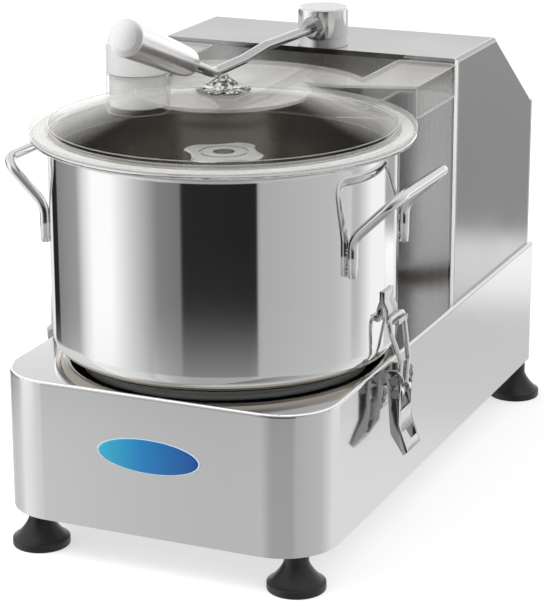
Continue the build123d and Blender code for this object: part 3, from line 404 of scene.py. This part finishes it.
# Steels: tone and its spread, roughness and its spread, how fast the grain changes along each
# axis, its scale, and its bump where it can be felt.
CASING = steel("casing_satin", (0.80, 0.80, 0.80), 0.006, 0.085, 0.008, (1, 1, 30), 30)
# The tower's shell is the casing's satin steel at a darker tone: painted shade.
TOWER = steel("tower_satin_painted_shade", (0.52, 0.52, 0.52), 0.006, 0.085, 0.008, (30, 30, 1), 30)
BOWL = steel("bowl_polished", (0.88, 0.88, 0.88), 0.008, 0.055, 0.01, (1, 1, 80), 40)
BRIGHT = steel("fittings_polished", (0.87, 0.87, 0.875), 0.02, 0.10, 0.02, (8, 8, 8), 60, 0.03)
# The rim's flat top and the bowl's inside are the bowl's steel made darker and browner: painted
# shade under the clear lid.
RIM = steel("bowl_rim_painted_shade", (0.60, 0.585, 0.56), 0.02, 0.16, 0.03, (1, 1, 60), 40)
INSIDE = steel("bowl_inside_painted_shade", (0.57, 0.53, 0.475), 0.03, 0.13, 0.02, (1, 1, 60), 40)
LATCH = steel("latch_pressed", (0.66, 0.66, 0.665), 0.02, 0.13, 0.02, (8, 8, 8), 60, 0.03)
# Near-white and hardly metallic: a painted highlight for the casings' rounded edges.
EDGE = steel("edge_painted_highlight", (0.99, 0.99, 0.99), 0.003, 0.40, 0.01, (8, 8, 8), 60,
             metallic=0.05)
# The arm's rod is the fittings' polished steel at a darker tone: painted shade.
ROD = steel("arm_polished_painted_shade", (0.55, 0.55, 0.55), 0.02, 0.10, 0.02, (8, 8, 8), 60)
PANEL = steel("panel_brushed", (0.70, 0.70, 0.70), 0.02, 0.24, 0.02, (40, 40, 1), 30)
KNOB = steel("knob_cast", (0.70, 0.70, 0.69), 0.03, 0.34, 0.03, EVEN, 60)
BLADE = steel("knife_ground", (0.72, 0.72, 0.72), 0.04, 0.22, 0.04, (1, 12, 1), 120, 0.1)
MACHINED = steel("machined_steel", (0.55, 0.55, 0.56), 0.05, 0.30, 0.05, (1, 1, 30), 80, 0.1)
GRIP = steel("grip_satin", (0.93, 0.93, 0.93), 0.01, 0.24, 0.02, (60, 6, 60), 30, metallic=0.88)
CAST = steel("cast_aluminium", (0.60, 0.61, 0.63), 0.04, 0.45, 0.05, EVEN, 200, 0.3)
LAMINATION = steel("lamination_steel", (0.25, 0.22, 0.20), 0.10, 0.50, 0.08, (1, 1, 90), 60, 0.4)

# Mouldings and paint: darkest and lightest colour of the cloud, roughness and bump.
RUBBER = moulded("black_rubber", (0.010, 0.010, 0.011), (0.022, 0.022, 0.024), 0.36, 0.15)
WHITE = moulded("white_plastic", (0.79, 0.80, 0.79), (0.84, 0.85, 0.84), 0.28, 0.04,
                subsurface=0.3)
GREY = moulded("grey_plastic", (0.26, 0.27, 0.28), (0.32, 0.33, 0.34), 0.45)
BLACK = moulded("black_plastic", (0.020, 0.020, 0.022), (0.035, 0.035, 0.038), 0.40)
PALE = moulded("badge_border", (0.60, 0.74, 0.84), (0.68, 0.80, 0.88), 0.25, 0.0)
GREEN = moulded("button_green", (0.02, 0.32, 0.09), (0.03, 0.38, 0.12), 0.28, 0.02)
RED = moulded("button_red", (0.50, 0.015, 0.012), (0.60, 0.025, 0.02), 0.28, 0.02)
PAINT = moulded("grey_paint", (0.20, 0.23, 0.26), (0.25, 0.28, 0.31), 0.38, 0.2)
BOARD = moulded("board_green", (0.015, 0.17, 0.07), (0.03, 0.25, 0.10), 0.40, 0.3)
GLASSY = moulded("clear_button", (0.93, 0.93, 0.92), (0.97, 0.97, 0.96), 0.03, 0.0,
                 clear=1.0, ior=1.49)
AZURE = azure()

# Clear walls: tone, and how much the skin returns when faced and at its edges.
CLEAR = clear_wall("clear_plastic", (0.76, 0.745, 0.70), 0.010, 0.58)
# Hazier and paler than the lid: painted highlight lines along the lid's edges.
HIGHLIGHT_BEADING = clear_wall("clear_edges_painted_highlight", (0.84, 0.83, 0.80), 0.22, 0.70)

SLOT_FINISH = {
    "satin_stainless": CASING, "bright_stainless": BRIGHT, "blade_steel": BLADE,
    "machined_steel": MACHINED, "grip_metal": GRIP, "cast_aluminium": CAST,
    "black_rubber": RUBBER, "clear_plastic": CLEAR, "white_plastic": WHITE,
    "grey_plastic": GREY, "black_plastic": BLACK, "badge_blue": AZURE, "button_green": GREEN,
    "button_red": RED, "grey_paint": PAINT, "lamination_steel": LAMINATION, "board_green": BOARD,
}
NODE_FINISH = {"tower_shell": TOWER, "bowl": BOWL, "arm_rod": ROD, "tower_front_panel": PANEL,
               "star_knob": KNOB}


def dress_nodes():
    """Gives every CAD node its own finish, or else the one of its slot."""
    for entry in frame["record"]["subparts"]:
        finish = NODE_FINISH.get(entry["node"], SLOT_FINISH[entry["material_slot"]])
        for place in frame["nodes"][entry["node"]].material_slots:
            place.material = finish


dress_nodes()

# ------------------------------------------------------------------ bowl
BOWL_RADIUS = 135.0
BOWL_WALL = 1.5
BOWL_BOTTOM = 147.5
BOWL_FLOOR = 2.0
BOWL_RIM_RADIUS = 148.3
BOWL_RIM_TOP = 317.0
BOWL_RIM_THICKNESS = 4.0
BOWL_TUBE_RADIUS = 24.0
BOWL_TUBE_WALL = 2.0
BOWL_TUBE_TOP = 236.0
BOWL_SEAM = 190.0           # height in the tube where the turned profile closes
RIM_FLAT = 316.6            # faces above this are the rim's flat top
BOWL_ROUNDS = [0.4, 12, 5, 1.99, 1.99, 0.5, 10.5, 2.0, 0.8, 0.8]    # at bowl_line's corners


def bowl_line():
    """The pan's (radius, height): down the tube's bore, along the bottom, up the wall, round
    the rim, down the inside, along the floor and up the tube."""
    bore, inner = BOWL_TUBE_RADIUS - BOWL_TUBE_WALL, BOWL_RADIUS - BOWL_WALL
    floor, under_rim = BOWL_BOTTOM + BOWL_FLOOR, BOWL_RIM_TOP - BOWL_RIM_THICKNESS
    corners = [(bore, BOWL_SEAM), (bore, BOWL_BOTTOM), (BOWL_RADIUS, BOWL_BOTTOM),
               (BOWL_RADIUS, under_rim), (BOWL_RIM_RADIUS, under_rim),
               (BOWL_RIM_RADIUS, BOWL_RIM_TOP), (inner, BOWL_RIM_TOP), (inner, floor),
               (BOWL_TUBE_RADIUS, floor), (BOWL_TUBE_RADIUS, BOWL_TUBE_TOP),
               (bore, BOWL_TUBE_TOP), (bore, BOWL_SEAM)]
    return rounded(corners, BOWL_ROUNDS, 8)


def make_pan():
    """The pan's line turned about its axis; every face within the wall gets a darker, browner
    copy of the bowl's steel and the flat top of the rim a darker, warmer one: painted shade."""
    pan = turned("bowl_pan", bowl_line(), 240)
    place_piece(pan, BOWL, "bright_stainless", "machine", "bowl")
    pan.data.materials.append(INSIDE)
    pan.data.materials.append(RIM)
    centres = np.empty(3 * len(pan.data.polygons))
    pan.data.polygons.foreach_get("center", centres)
    x, y, z = centres.reshape(-1, 3).T / MM
    within = ((np.hypot(x, y - BOWL_Y) < BOWL_RADIUS - BOWL_WALL / 2)
              & (z > BOWL_BOTTOM + BOWL_FLOOR / 2))
    index = np.where(z > RIM_FLAT, 2, within)
    pan.data.polygons.foreach_set("material_index", index.astype(np.int32))


make_pan()

HANDLE_ROD = 4.0            # radius
HANDLE_Y = 54.0
HANDLE_STAND_OFF = 4.15     # rod's centre from the bowl's wall
HANDLE_LEG_X = sqrt((BOWL_RADIUS + HANDLE_STAND_OFF) ** 2 - HANDLE_Y ** 2)
HANDLE_BAR_X = 162.5
HANDLE_FOOT = 227.5
HANDLE_BEND = 257.0
HANDLE_BAR_Z = 290.0
HANDLE_RUN = [(HANDLE_LEG_X, -HANDLE_Y, HANDLE_FOOT), (HANDLE_LEG_X, -HANDLE_Y, HANDLE_BEND),
              (HANDLE_BAR_X, -HANDLE_Y, HANDLE_BAR_Z), (HANDLE_BAR_X, HANDLE_Y, HANDLE_BAR_Z),
              (HANDLE_LEG_X, HANDLE_Y, HANDLE_BEND), (HANDLE_LEG_X, HANDLE_Y, HANDLE_FOOT)]
HANDLE_BENDS = [19, 13, 13, 19]
STUD_RADIUS = 2.6
STUD_HEIGHTS = (233.5, 247.0)
STUD_REACH = (134.0, 137.8)     # from the bowl's axis: out of the wall into the rod


def handle_rods():
    """Both handles: a rod bent four times, and the four short studs that weld it to the wall."""
    parts = []
    for side in (1, -1):
        run = rounded(HANDLE_RUN, HANDLE_BENDS, 8) * np.array((side, 1, 1))
        parts.append(rod(run, HANDLE_ROD, (side, 0, -1), 0.6, 32))
        for y in (-HANDLE_Y, HANDLE_Y):
            for z in STUD_HEIGHTS:
                out = np.array((HANDLE_LEG_X * side, y, 0)) / hypot(HANDLE_LEG_X, y)
                stud = [out * reach + (0, 0, z) for reach in np.linspace(*STUD_REACH, 3)]
                parts.append(rod(stud, STUD_RADIUS, (0, 0, 1), 0.1, 16))
    return parts


place_piece(joined("carry_handles", handle_rods()),
            BRIGHT, "bright_stainless", "machine", "bowl_handles")

# ------------------------------------------------------------------ grip, stopper and feet
# Their lines are (radius, height), or along the grip (radius, distance from its neck).
ARM_END = (-18.0, 363.7)        # y and z of the last bend of the arm's rod
GRIP_REACH = 43.5               # from that bend to the grip
GRIP_TILT = radians(20)
GRIP_START = (0, ARM_END[0] - GRIP_REACH * cos(GRIP_TILT),
              ARM_END[1] + GRIP_REACH * sin(GRIP_TILT))
GRIP_SIDE = smooth_through([(5.2, 0.0), (9.4, 2.8), (10.8, 9.0), (11.6, 24.0), (12.6, 70.0),
                            (13.45, 106.6)], 10)
GRIP_SHOULDER = rounded([(13.45, 106.6), (13.5, 108.3), (9.0, 109.2), (0.0, 110.1)], [1.2, 9.0])
GRIP_LINE = np.concatenate([[(0, 0)], GRIP_SIDE, GRIP_SHOULDER[1:]])
place_piece(turned("arm_grip_turned", GRIP_LINE, 96, GRIP_START, pi / 2 - GRIP_TILT),
            GRIP, "grip_metal", "lock_arm", "arm_grip")

FEED_PLACE = (-73.5, 2.0)
FEED_RADIUS = 25.0
FEED_TOP = 355.0
STOPPER_LINE = rounded([(0, 329), (22.2, 329), (22.2, 355.3), (24.6, 355.3), (24.6, 381),
                        (0, 381)], [1.0, 0.3, 0.8, 3.0])
place_piece(turned("stopper_plug", STOPPER_LINE, 128, (*FEED_PLACE, 0)),
            WHITE, "white_plastic", "stopper", "feed_stopper")

FOOT_FRONT = (108.0, -112.0)
FOOT_REAR = (124.6, 362.6)
FOOT_RIM = rounded([(0, 0), (22.5, 0), (22.5, 5.9), (20.6, 7.3)], [1.2, 0.8])
FOOT_BELL = smooth_through([(22.3, 6.2), (19.6, 7.8), (15.2, 12.4), (11.6, 17.4), (9.8, 21.2),
                            (9.5, 24.0), (9.5, 31.9)], 6)
# The bell takes over from the rim's last arc, so it goes without its first two points.
FOOT_LINE = np.concatenate([FOOT_RIM[:-1], FOOT_BELL[2:], [(9.5, 32.4), (0, 32.4)]])
FEET = [(spun(FOOT_LINE, 72) + (side * x, y, 0), False)
        for x, y in (FOOT_FRONT, FOOT_REAR) for side in (-1, 1)]
place_piece(joined("bell_feet", FEET), RUBBER, "black_rubber", "machine", "rubber_feet")

# ------------------------------------------------------------------ badge
BASE_FRONT = -138.6
BADGE_Z = 97.6
BORDER_SHARE = 0.97         # where the printed oval ends and the pale border starts


def oval_plate(name, shares, heights):
    """A plate of oval rings: share of the half width and half height, and how far each ring
    stands off the casing, from the middle of the back round the edge to the middle of the
    front. A ring's x and z are the cosine and the sine of an angle times its two halves."""
    angle = np.linspace(0, 2 * pi, 144, endpoint=False)
    shares, heights = np.asarray(shares)[:, None], np.asarray(heights)[:, None]
    x = BADGE_HALF_WIDTH * shares * np.cos(angle)
    y = BASE_FRONT - heights + 0 * angle
    z = BADGE_Z + BADGE_HALF_HEIGHT * shares * np.sin(angle)
    return joined(name, [(np.stack([x, y, z], -1), False)])


FIELD = np.linspace(BORDER_SHARE, 0, 16)
FIELD_CROWN = 0.80 + 0.3 * (1 - (FIELD / BORDER_SHARE) ** 2)
place_piece(oval_plate("badge_border_ring",
                       [0, 1, 1, 0.995, 0.985, BORDER_SHARE, BORDER_SHARE - 0.01, 0],
                       [0, 0, 0.5, 0.78, 0.86, 0.82, 0.6, 0.6]),
            PALE, "badge_blue", "machine", "badge")
place_piece(oval_plate("badge_field", [0, BORDER_SHARE + 0.004, *FIELD],
                       [0.55, 0.55, *FIELD_CROWN]), AZURE, "badge_blue", "machine")

# ------------------------------------------------------------------ latches
PRESSED_EDGE = 0.45         # width of the broken edge of a lever or a hook
PLATE_EDGE = 0.35
for hand in ("right", "left"):
    lever = "latch_lever_" + hand
    place_piece(softened(lever + "_pressed", lever, PRESSED_EDGE),
                LATCH, "bright_stainless", "lever_" + hand, lever)
place_piece(softened("bowl_catches", "bowl_hooks", PRESSED_EDGE),
            LATCH, "bright_stainless", "machine", "bowl_hooks")
place_piece(softened("latch_plates", "latch_brackets", PLATE_EDGE),
            LATCH, "bright_stainless", "machine", "latch_brackets")


# ------------------------------------------------------------------ casings
def with_painted_edge_highlight(name, node, finish, tilted):
    """A copy of a folded casing whose rounded edges, picked by the slant of their faces,
    get a near-white, hardly metallic material: a painted highlight along the edges."""
    mesh = frame["nodes"][node].data.copy()
    mesh.name = name
    piece = into_scene(name, mesh)
    place_piece(piece, finish, "satin_stainless", "machine", node)
    mesh.materials.append(EDGE)
    slant = np.empty(3 * len(mesh.polygons))
    mesh.polygons.foreach_get("normal", slant)
    picked = tilted(*np.abs(slant.reshape(-1, 3)).T)
    mesh.polygons.foreach_set("material_index", picked.astype(np.int32))


def base_edges(x, y, z):
    """Faces of the fillet between the flat top and the upright sides, which get the painted
    highlight.
    """
    return (z > 0.62) & (z < 0.93)


def tower_edges(x, y, z):
    """Faces of the upright fillets at the corners, which get the painted highlight."""
    return (x > 0.30) & (x < 0.93) & (z < 0.15)


with_painted_edge_highlight("base_casing", "base_housing", CASING, base_edges)
with_painted_edge_highlight("tower_casing", "tower_shell", TOWER, tower_edges)

# ------------------------------------------------------------------ clear lid's edges and button
LID_FLANGE_BOTTOM = 318.0
LID_FLANGE_TOP = 321.0
LID_STEP_RADIUS = 134.0
LID_STEP_TOP = 324.0
LID_TOP_RADIUS = 67.0
LID_TOP = 347.0
BEAD = 0.42                 # half the thickness of a bead along a moulded edge, a painted highlight line
BEAD_INSET = 0.3            # from the faces that meet in the edge
BEAD_SIDES = 10
HOOP_STEPS = 192
FRONT_ARC = (200.5, 386.0)  # bearings on the cone's top from the feed tube round to the deck
LID_MIDDLE = 334.0          # halfway up an upright bead

# Plan of one arm of the lid's raised back, from the cone round to its inner corner.
ARM_EDGE = rounded([(72.0, 51.5), (131.7, 70.2), (131.7, 160.7), (82.3, 160.7), (82.3, 84.0)],
                   [5, 5, 5])
ARM_CORNERS = ((131.0, 71.0), (131.0, 160.0))       # where an upright bead stands


def hoop(radius, height, centre=(0, 0)):
    """A bead on a round edge, a circle of circles about an upright axis. Returned with True:
    its ends meet."""
    angle = np.linspace(0, 2 * pi, HOOP_STEPS, endpoint=False)[:, None]
    turn = np.linspace(0, 2 * pi, BEAD_SIDES, endpoint=False)[None, :]
    reach = radius + BEAD * np.cos(turn)
    grid = np.stack([centre[0] + reach * np.cos(angle), centre[1] + reach * np.sin(angle),
                     height + BEAD * np.sin(turn) + 0 * angle], -1)
    return grid, True


def bead_rod(path, beside):
    """A bead along an open edge."""
    return rod(path, BEAD, beside, 0.1, BEAD_SIDES)


def edge_beads():
    """Milky beads along the edges of the lid as painted highlight lines: hoops on its circles and
    rods along its arms.
    """
    flange = BOWL_RIM_RADIUS - BEAD_INSET
    parts = [hoop(flange, LID_FLANGE_TOP - BEAD_INSET),
             hoop(flange, LID_FLANGE_BOTTOM + BEAD_INSET),
             hoop(LID_STEP_RADIUS, LID_STEP_TOP),
             hoop(LID_STEP_RADIUS + 0.2, LID_FLANGE_TOP + 0.2),
             hoop(FEED_RADIUS - BEAD_INSET, FEED_TOP - 0.6, FEED_PLACE)]
    front = np.radians(np.linspace(*FRONT_ARC, 120))[:, None]
    parts.append(bead_rod(np.concatenate([LID_TOP_RADIUS * np.cos(front),
                                          LID_TOP_RADIUS * np.sin(front),
                                          LID_TOP + 0 * front], -1), (0, 0, 1)))
    for side in (1, -1):
        plan = ARM_EDGE * (side, 1)
        for height in (LID_TOP - 0.2, LID_FLANGE_TOP + 0.4):
            parts.append(bead_rod(np.insert(plan, 2, height, axis=1), (0, 0, 1)))
        for x, y in ARM_CORNERS:
            heights = (LID_FLANGE_TOP, LID_MIDDLE, LID_TOP - BEAD_INSET)
            parts.append(bead_rod([(side * x, y, z) for z in heights], (1, 0, 0)))
    return parts


place_piece(joined("lid_edge_beads", edge_beads()), HIGHLIGHT_BEADING, "clear_plastic", "machine")

BUTTON_LINE = np.array([(0, 347.05), (20.6, 347.05), (21.0, 347.6), (21.0, 348.3), (19.6, 348.9),
                        (15.5, 350.3), (11.9, 351.9), (8.6, 354.2), (5.9, 356.3), (4.4, 358.2),
                        (3.8, 359.1), (0, 359.15)])
BUTTON_SWING = np.array([0, 0, 0, 0, 0.10, 0.22, 0.30, 0.30, 0.24, 0.12, 0, 0])  # a share


def ribbed_cone():
    """Eight ribs up a cone, shaded flat: the radius at a bearing swings between the rib and
    the hollow as the sine of four times the bearing, and the swing dies out towards the round
    foot and the round tip."""
    bearing = np.linspace(0, 2 * pi, 64, endpoint=False)
    radius = BUTTON_LINE[:, :1] * (1 - BUTTON_SWING[:, None] * np.abs(np.sin(4 * bearing)))
    height = BUTTON_LINE[:, 1:] + 0 * bearing
    grid = np.stack([radius * np.cos(bearing), radius * np.sin(bearing), height], -1)
    button = joined("button_ribbed", [(grid, False)])
    button.data.polygons.foreach_set("use_smooth", [False] * len(button.data.polygons))
    return button


place_piece(ribbed_cone(), GLASSY, "clear_plastic", "machine", "lid_button")

# ------------------------------------------------------------------ studio
FLOOR_REACH = 12.0          # m
FLOOR_GLOW = 0.55           # what the sheet adds for the eye, which brings it up to white
WHITE_LIGHT = (1, 1, 1, 1)


def make_floor():
    """A wide sheet that shows white to the eye and still takes the object's shadow."""
    side = FLOOR_REACH
    mesh = bpy.data.meshes.new("floor")
    mesh.from_pydata([(-side, -side, 0), (side, -side, 0), (side, side, 0), (-side, side, 0)],
                     [], [(0, 1, 2, 3)])
    floor = into_scene("floor", mesh)
    material, nodes, links, shader = new_material("floor_white")
    shader.inputs["Base Color"].default_value = (0.62, 0.62, 0.62, 1)
    shader.inputs["Roughness"].default_value = 0.9
    shader.inputs["Specular IOR Level"].default_value = 0.0
    path = nodes.new("ShaderNodeLightPath").outputs
    seen = maths(nodes, links, "MAXIMUM", path["Is Camera Ray"], path["Is Transmission Ray"])
    shader.inputs["Emission Color"].default_value = WHITE_LIGHT
    glow = maths(nodes, links, "MULTIPLY", seen, FLOOR_GLOW)
    links.new(glow, shader.inputs["Emission Strength"])
    mesh.materials.append(material)
    floor.visible_glossy = False


# What polished steel sees. HORIZON, TABLE and OVERHEAD are (bearing in degrees from +X,
# brightness) round the horizon, on the table below it and overhead.
HORIZON = [
    (-180, 0.34), (-177, 0.36), (-170, 0.75), (-160, 1.10), (-144, 1.10), (-126, 0.62),
    (-109, 0.24), (-94, 0.19), (-92.6, 0.022), (-44.6, 0.018), (-43.4, 0.45), (-17, 0.50),
    (10, 0.54), (24, 0.66), (27, 0.50), (32, 0.55), (46, 1.0), (64, 1.0), (67, 0.42), (79, 0.42),
    (84, 0.9), (105, 0.9), (125, 0.7), (140, 1.0), (141, 0.02), (153.5, 0.02), (154, 0.24),
    (180, 0.34),
]
TABLE = [
    (-180, 0.75), (-165, 0.95), (-148, 0.90), (-135, 0.80), (-121, 0.70), (-117.5, 0.62),
    (-114.5, 0.56), (-111, 0.66), (-104, 0.55), (-98, 0.48), (-88, 0.42), (-50, 0.42),
    (-44, 0.50), (10, 0.58), (40, 0.85), (60, 0.84), (80, 0.82), (120, 0.70), (160, 0.65),
    (180, 0.75),
]
OVERHEAD = [
    (-180, 0.9), (-140, 1.05), (-124, 0.95), (-113, 0.55), (-103, 0.24), (-85, 0.20),
    (-45, 0.28), (0, 0.6), (60, 0.8), (105, 0.78), (120, 0.82), (180, 0.9),
]
# One stretch, past the machine's right side, goes by height instead: (degrees above the
# horizon, brightness).
BESIDE = [
    (-30, 0.25), (-26, 0.30), (-24.3, 0.85), (-21, 0.82), (-19.8, 0.69), (-17.7, 0.65),
    (-16.9, 1.0), (-15.9, 1.12), (-15.4, 0.41), (-13, 0.42), (-10, 0.46), (-5, 0.85), (0, 1.1),
]
GLARE = 1.5                 # low bright ceiling and low bright wall behind the machine
ZENITH = 0.75
GROUND = 0.30               # far below the horizon
PLAIN = 0.78                # even light for whatever isn't polished

# Where a zone fades in and out again, in degrees of bearing or of height.
BESIDE_BEARINGS = (62, 67, 80, 88)
BEHIND_BEARINGS = (70, 95, 135, 160)
LOW_CEILING = (11.5, 12.7, 15.5, 18.5)
LOW_WALL = (-9, -5, 2, 6)

# Heights between which one zone gives way to the next one up.
GROUND_TO_TABLE = (-60, -36)
TABLE_TO_HORIZON = (-20.8, -17.3)
HORIZON_TO_OVERHEAD = (4, 10.5)
OVERHEAD_TO_ZENITH = (35, 60)


def studio_screens(nodes, links):
    """Brightness of the direction looked in, from its bearing and its height: each zone is
    mixed over the last one by how far the direction is inside it."""
    place = nodes.new("ShaderNodeTexCoord")
    split = nodes.new("ShaderNodeSeparateXYZ")
    links.new(place.outputs["Generated"], split.inputs[0])
    x, y, z = split.outputs

    def compute(operation, *values):
        """One step of arithmetic in this world's nodes."""
        return maths(nodes, links, operation, *values)

    def blend(factor, first, second):
        """The first brightness where factor is 0, the second where it is 1."""
        return mixed(nodes, links, "FLOAT", factor, first, second)

    def fading(source, edges, low=0.0, high=1.0):
        """Goes smoothly from low to high between two edges."""
        return ranged(nodes, links, source, low, high, *edges, "SMOOTHSTEP")

    def inside(source, edges):
        """1 between the inner two of four edges, and 0 beyond the outer two."""
        return compute("MULTIPLY", fading(source, edges[:2]), fading(source, edges[2:], 1.0, 0.0))

    def screens(source, bands):
        """A ramp over the whole run of the bands, from the first one's place to the last's."""
        start, reach = bands[0][0], bands[-1][0] - bands[0][0]
        stops = [((degrees - start) / reach, (value,) * 3) for degrees, value in bands]
        return ramped(nodes, links, source, stops)

    bearing = compute("MULTIPLY", compute("ARCTAN2", y, x), 180 / pi)
    height = compute("MULTIPLY", compute("ARCSINE", z), 180 / pi)
    turn_share = compute("ADD", compute("DIVIDE", bearing, 360), 0.5)
    depth = -BESIDE[0][0]
    rise_share = compute("DIVIDE", compute("ADD", height, depth), depth)

    room = blend(fading(height, TABLE_TO_HORIZON, 1.0, 0.0),
                 screens(turn_share, HORIZON), screens(turn_share, TABLE))
    room = blend(inside(bearing, BESIDE_BEARINGS), room, screens(rise_share, BESIDE))
    room = blend(fading(height, GROUND_TO_TABLE, 1.0, 0.0), room, GROUND)
    behind = inside(bearing, BEHIND_BEARINGS)
    ceiling = blend(compute("MULTIPLY", behind, inside(height, LOW_CEILING)),
                    screens(turn_share, OVERHEAD), GLARE)
    ceiling = blend(fading(height, OVERHEAD_TO_ZENITH), ceiling, ZENITH)
    studio = blend(fading(height, HORIZON_TO_OVERHEAD), room, ceiling)
    return blend(compute("MULTIPLY", behind, inside(height, LOW_WALL)), studio, GLARE)


def make_world():
    """Plain light for whatever isn't polished, a studio of bright and dark screens for the
    steel, and white for the eye."""
    world = bpy.data.worlds.new("studio")
    bpy.context.scene.world = world
    world.use_nodes = True
    nodes, links = world.node_tree.nodes, world.node_tree.links
    nodes.clear()

    def background(colour, strength=1.0):
        """Light of a fixed colour, or of the brightness that a socket gives."""
        light = nodes.new("ShaderNodeBackground")
        feed(links, colour, light.inputs["Color"])
        light.inputs["Strength"].default_value = strength
        return light.outputs[0]

    def either(factor, first, second):
        """The first light where factor is 0, the second where it is 1."""
        mix = nodes.new("ShaderNodeMixShader")
        for value, socket in zip((factor, first, second), mix.inputs):
            links.new(value, socket)
        return mix.outputs[0]

    path = nodes.new("ShaderNodeLightPath").outputs
    shiny = maths(nodes, links, "MAXIMUM", path["Is Glossy Ray"], path["Is Transmission Ray"])
    lit = either(shiny, background(WHITE_LIGHT, PLAIN), background(studio_screens(nodes, links)))
    seen = either(path["Is Camera Ray"], lit, background(WHITE_LIGHT))
    links.new(seen, nodes.new("ShaderNodeOutputWorld").inputs["Surface"])


LAMP_AIM = (0, 0, 0.2)      # the middle of the machine, m


def make_lamp(name, place, size, power):
    """A soft square lamp, in metres and watts, that looks at LAMP_AIM and isn't mirrored."""
    light = bpy.data.lights.new(name, "AREA")
    light.size = size
    light.energy = power
    lamp = into_scene(name, light)
    lamp.location = place
    aim = Vector(LAMP_AIM) - Vector(place)
    lamp.rotation_euler = aim.to_track_quat("-Z", "Y").to_euler()
    lamp.visible_glossy = False
    lamp.visible_camera = False
    lamp.visible_transmission = False


# The camera: bearing and dip of its line of sight, its roll, place and focal length.
VIEW_BEARING = radians(23.945)
VIEW_DIP = radians(17.304)
VIEW_ROLL = radians(0.290)
VIEW_PLACE = (724.022, -1567.644, 717.598)
FOCAL_PIXELS = 2309.103
IMAGE_SIZE = (545, 611)
CENTRE_PIXEL = (257.731, 299.587)
SENSOR = 36.0


def make_camera():
    """A camera turned by its bearing, dip and roll, its middle shifted to CENTRE_PIXEL."""
    ahead = Vector((-sin(VIEW_BEARING) * cos(VIEW_DIP), cos(VIEW_BEARING) * cos(VIEW_DIP),
                    -sin(VIEW_DIP)))
    right = Vector((cos(VIEW_BEARING), sin(VIEW_BEARING), 0))
    down = ahead.cross(right)
    x_axis = right * cos(VIEW_ROLL) + down * sin(VIEW_ROLL)
    y_axis = -(down * cos(VIEW_ROLL) - right * sin(VIEW_ROLL))
    data = bpy.data.cameras.new("camera")
    long_side = max(IMAGE_SIZE)
    data.sensor_width = SENSOR
    data.lens = FOCAL_PIXELS * SENSOR / long_side
    data.shift_x = (IMAGE_SIZE[0] / 2 - CENTRE_PIXEL[0]) / long_side
    data.shift_y = (CENTRE_PIXEL[1] - IMAGE_SIZE[1] / 2) / long_side
    data.clip_end = 100
    camera = into_scene("camera", data)
    turn = Matrix((x_axis, y_axis, -ahead)).transposed().to_4x4()
    place = Vector((VIEW_PLACE[0], VIEW_PLACE[1] + BOWL_Y, VIEW_PLACE[2])) * MM
    camera.matrix_world = Matrix.Translation(place) @ turn
    bpy.context.scene.camera = camera


bpy.context.scene.view_settings.view_transform = "Standard"
make_floor()
make_world()
make_lamp("key_lamp", (-1.2, -1.0, 2.2), 1.6, 30)
make_lamp("fill_lamp", (1.6, -1.4, 1.8), 1.8, 14)
make_camera()
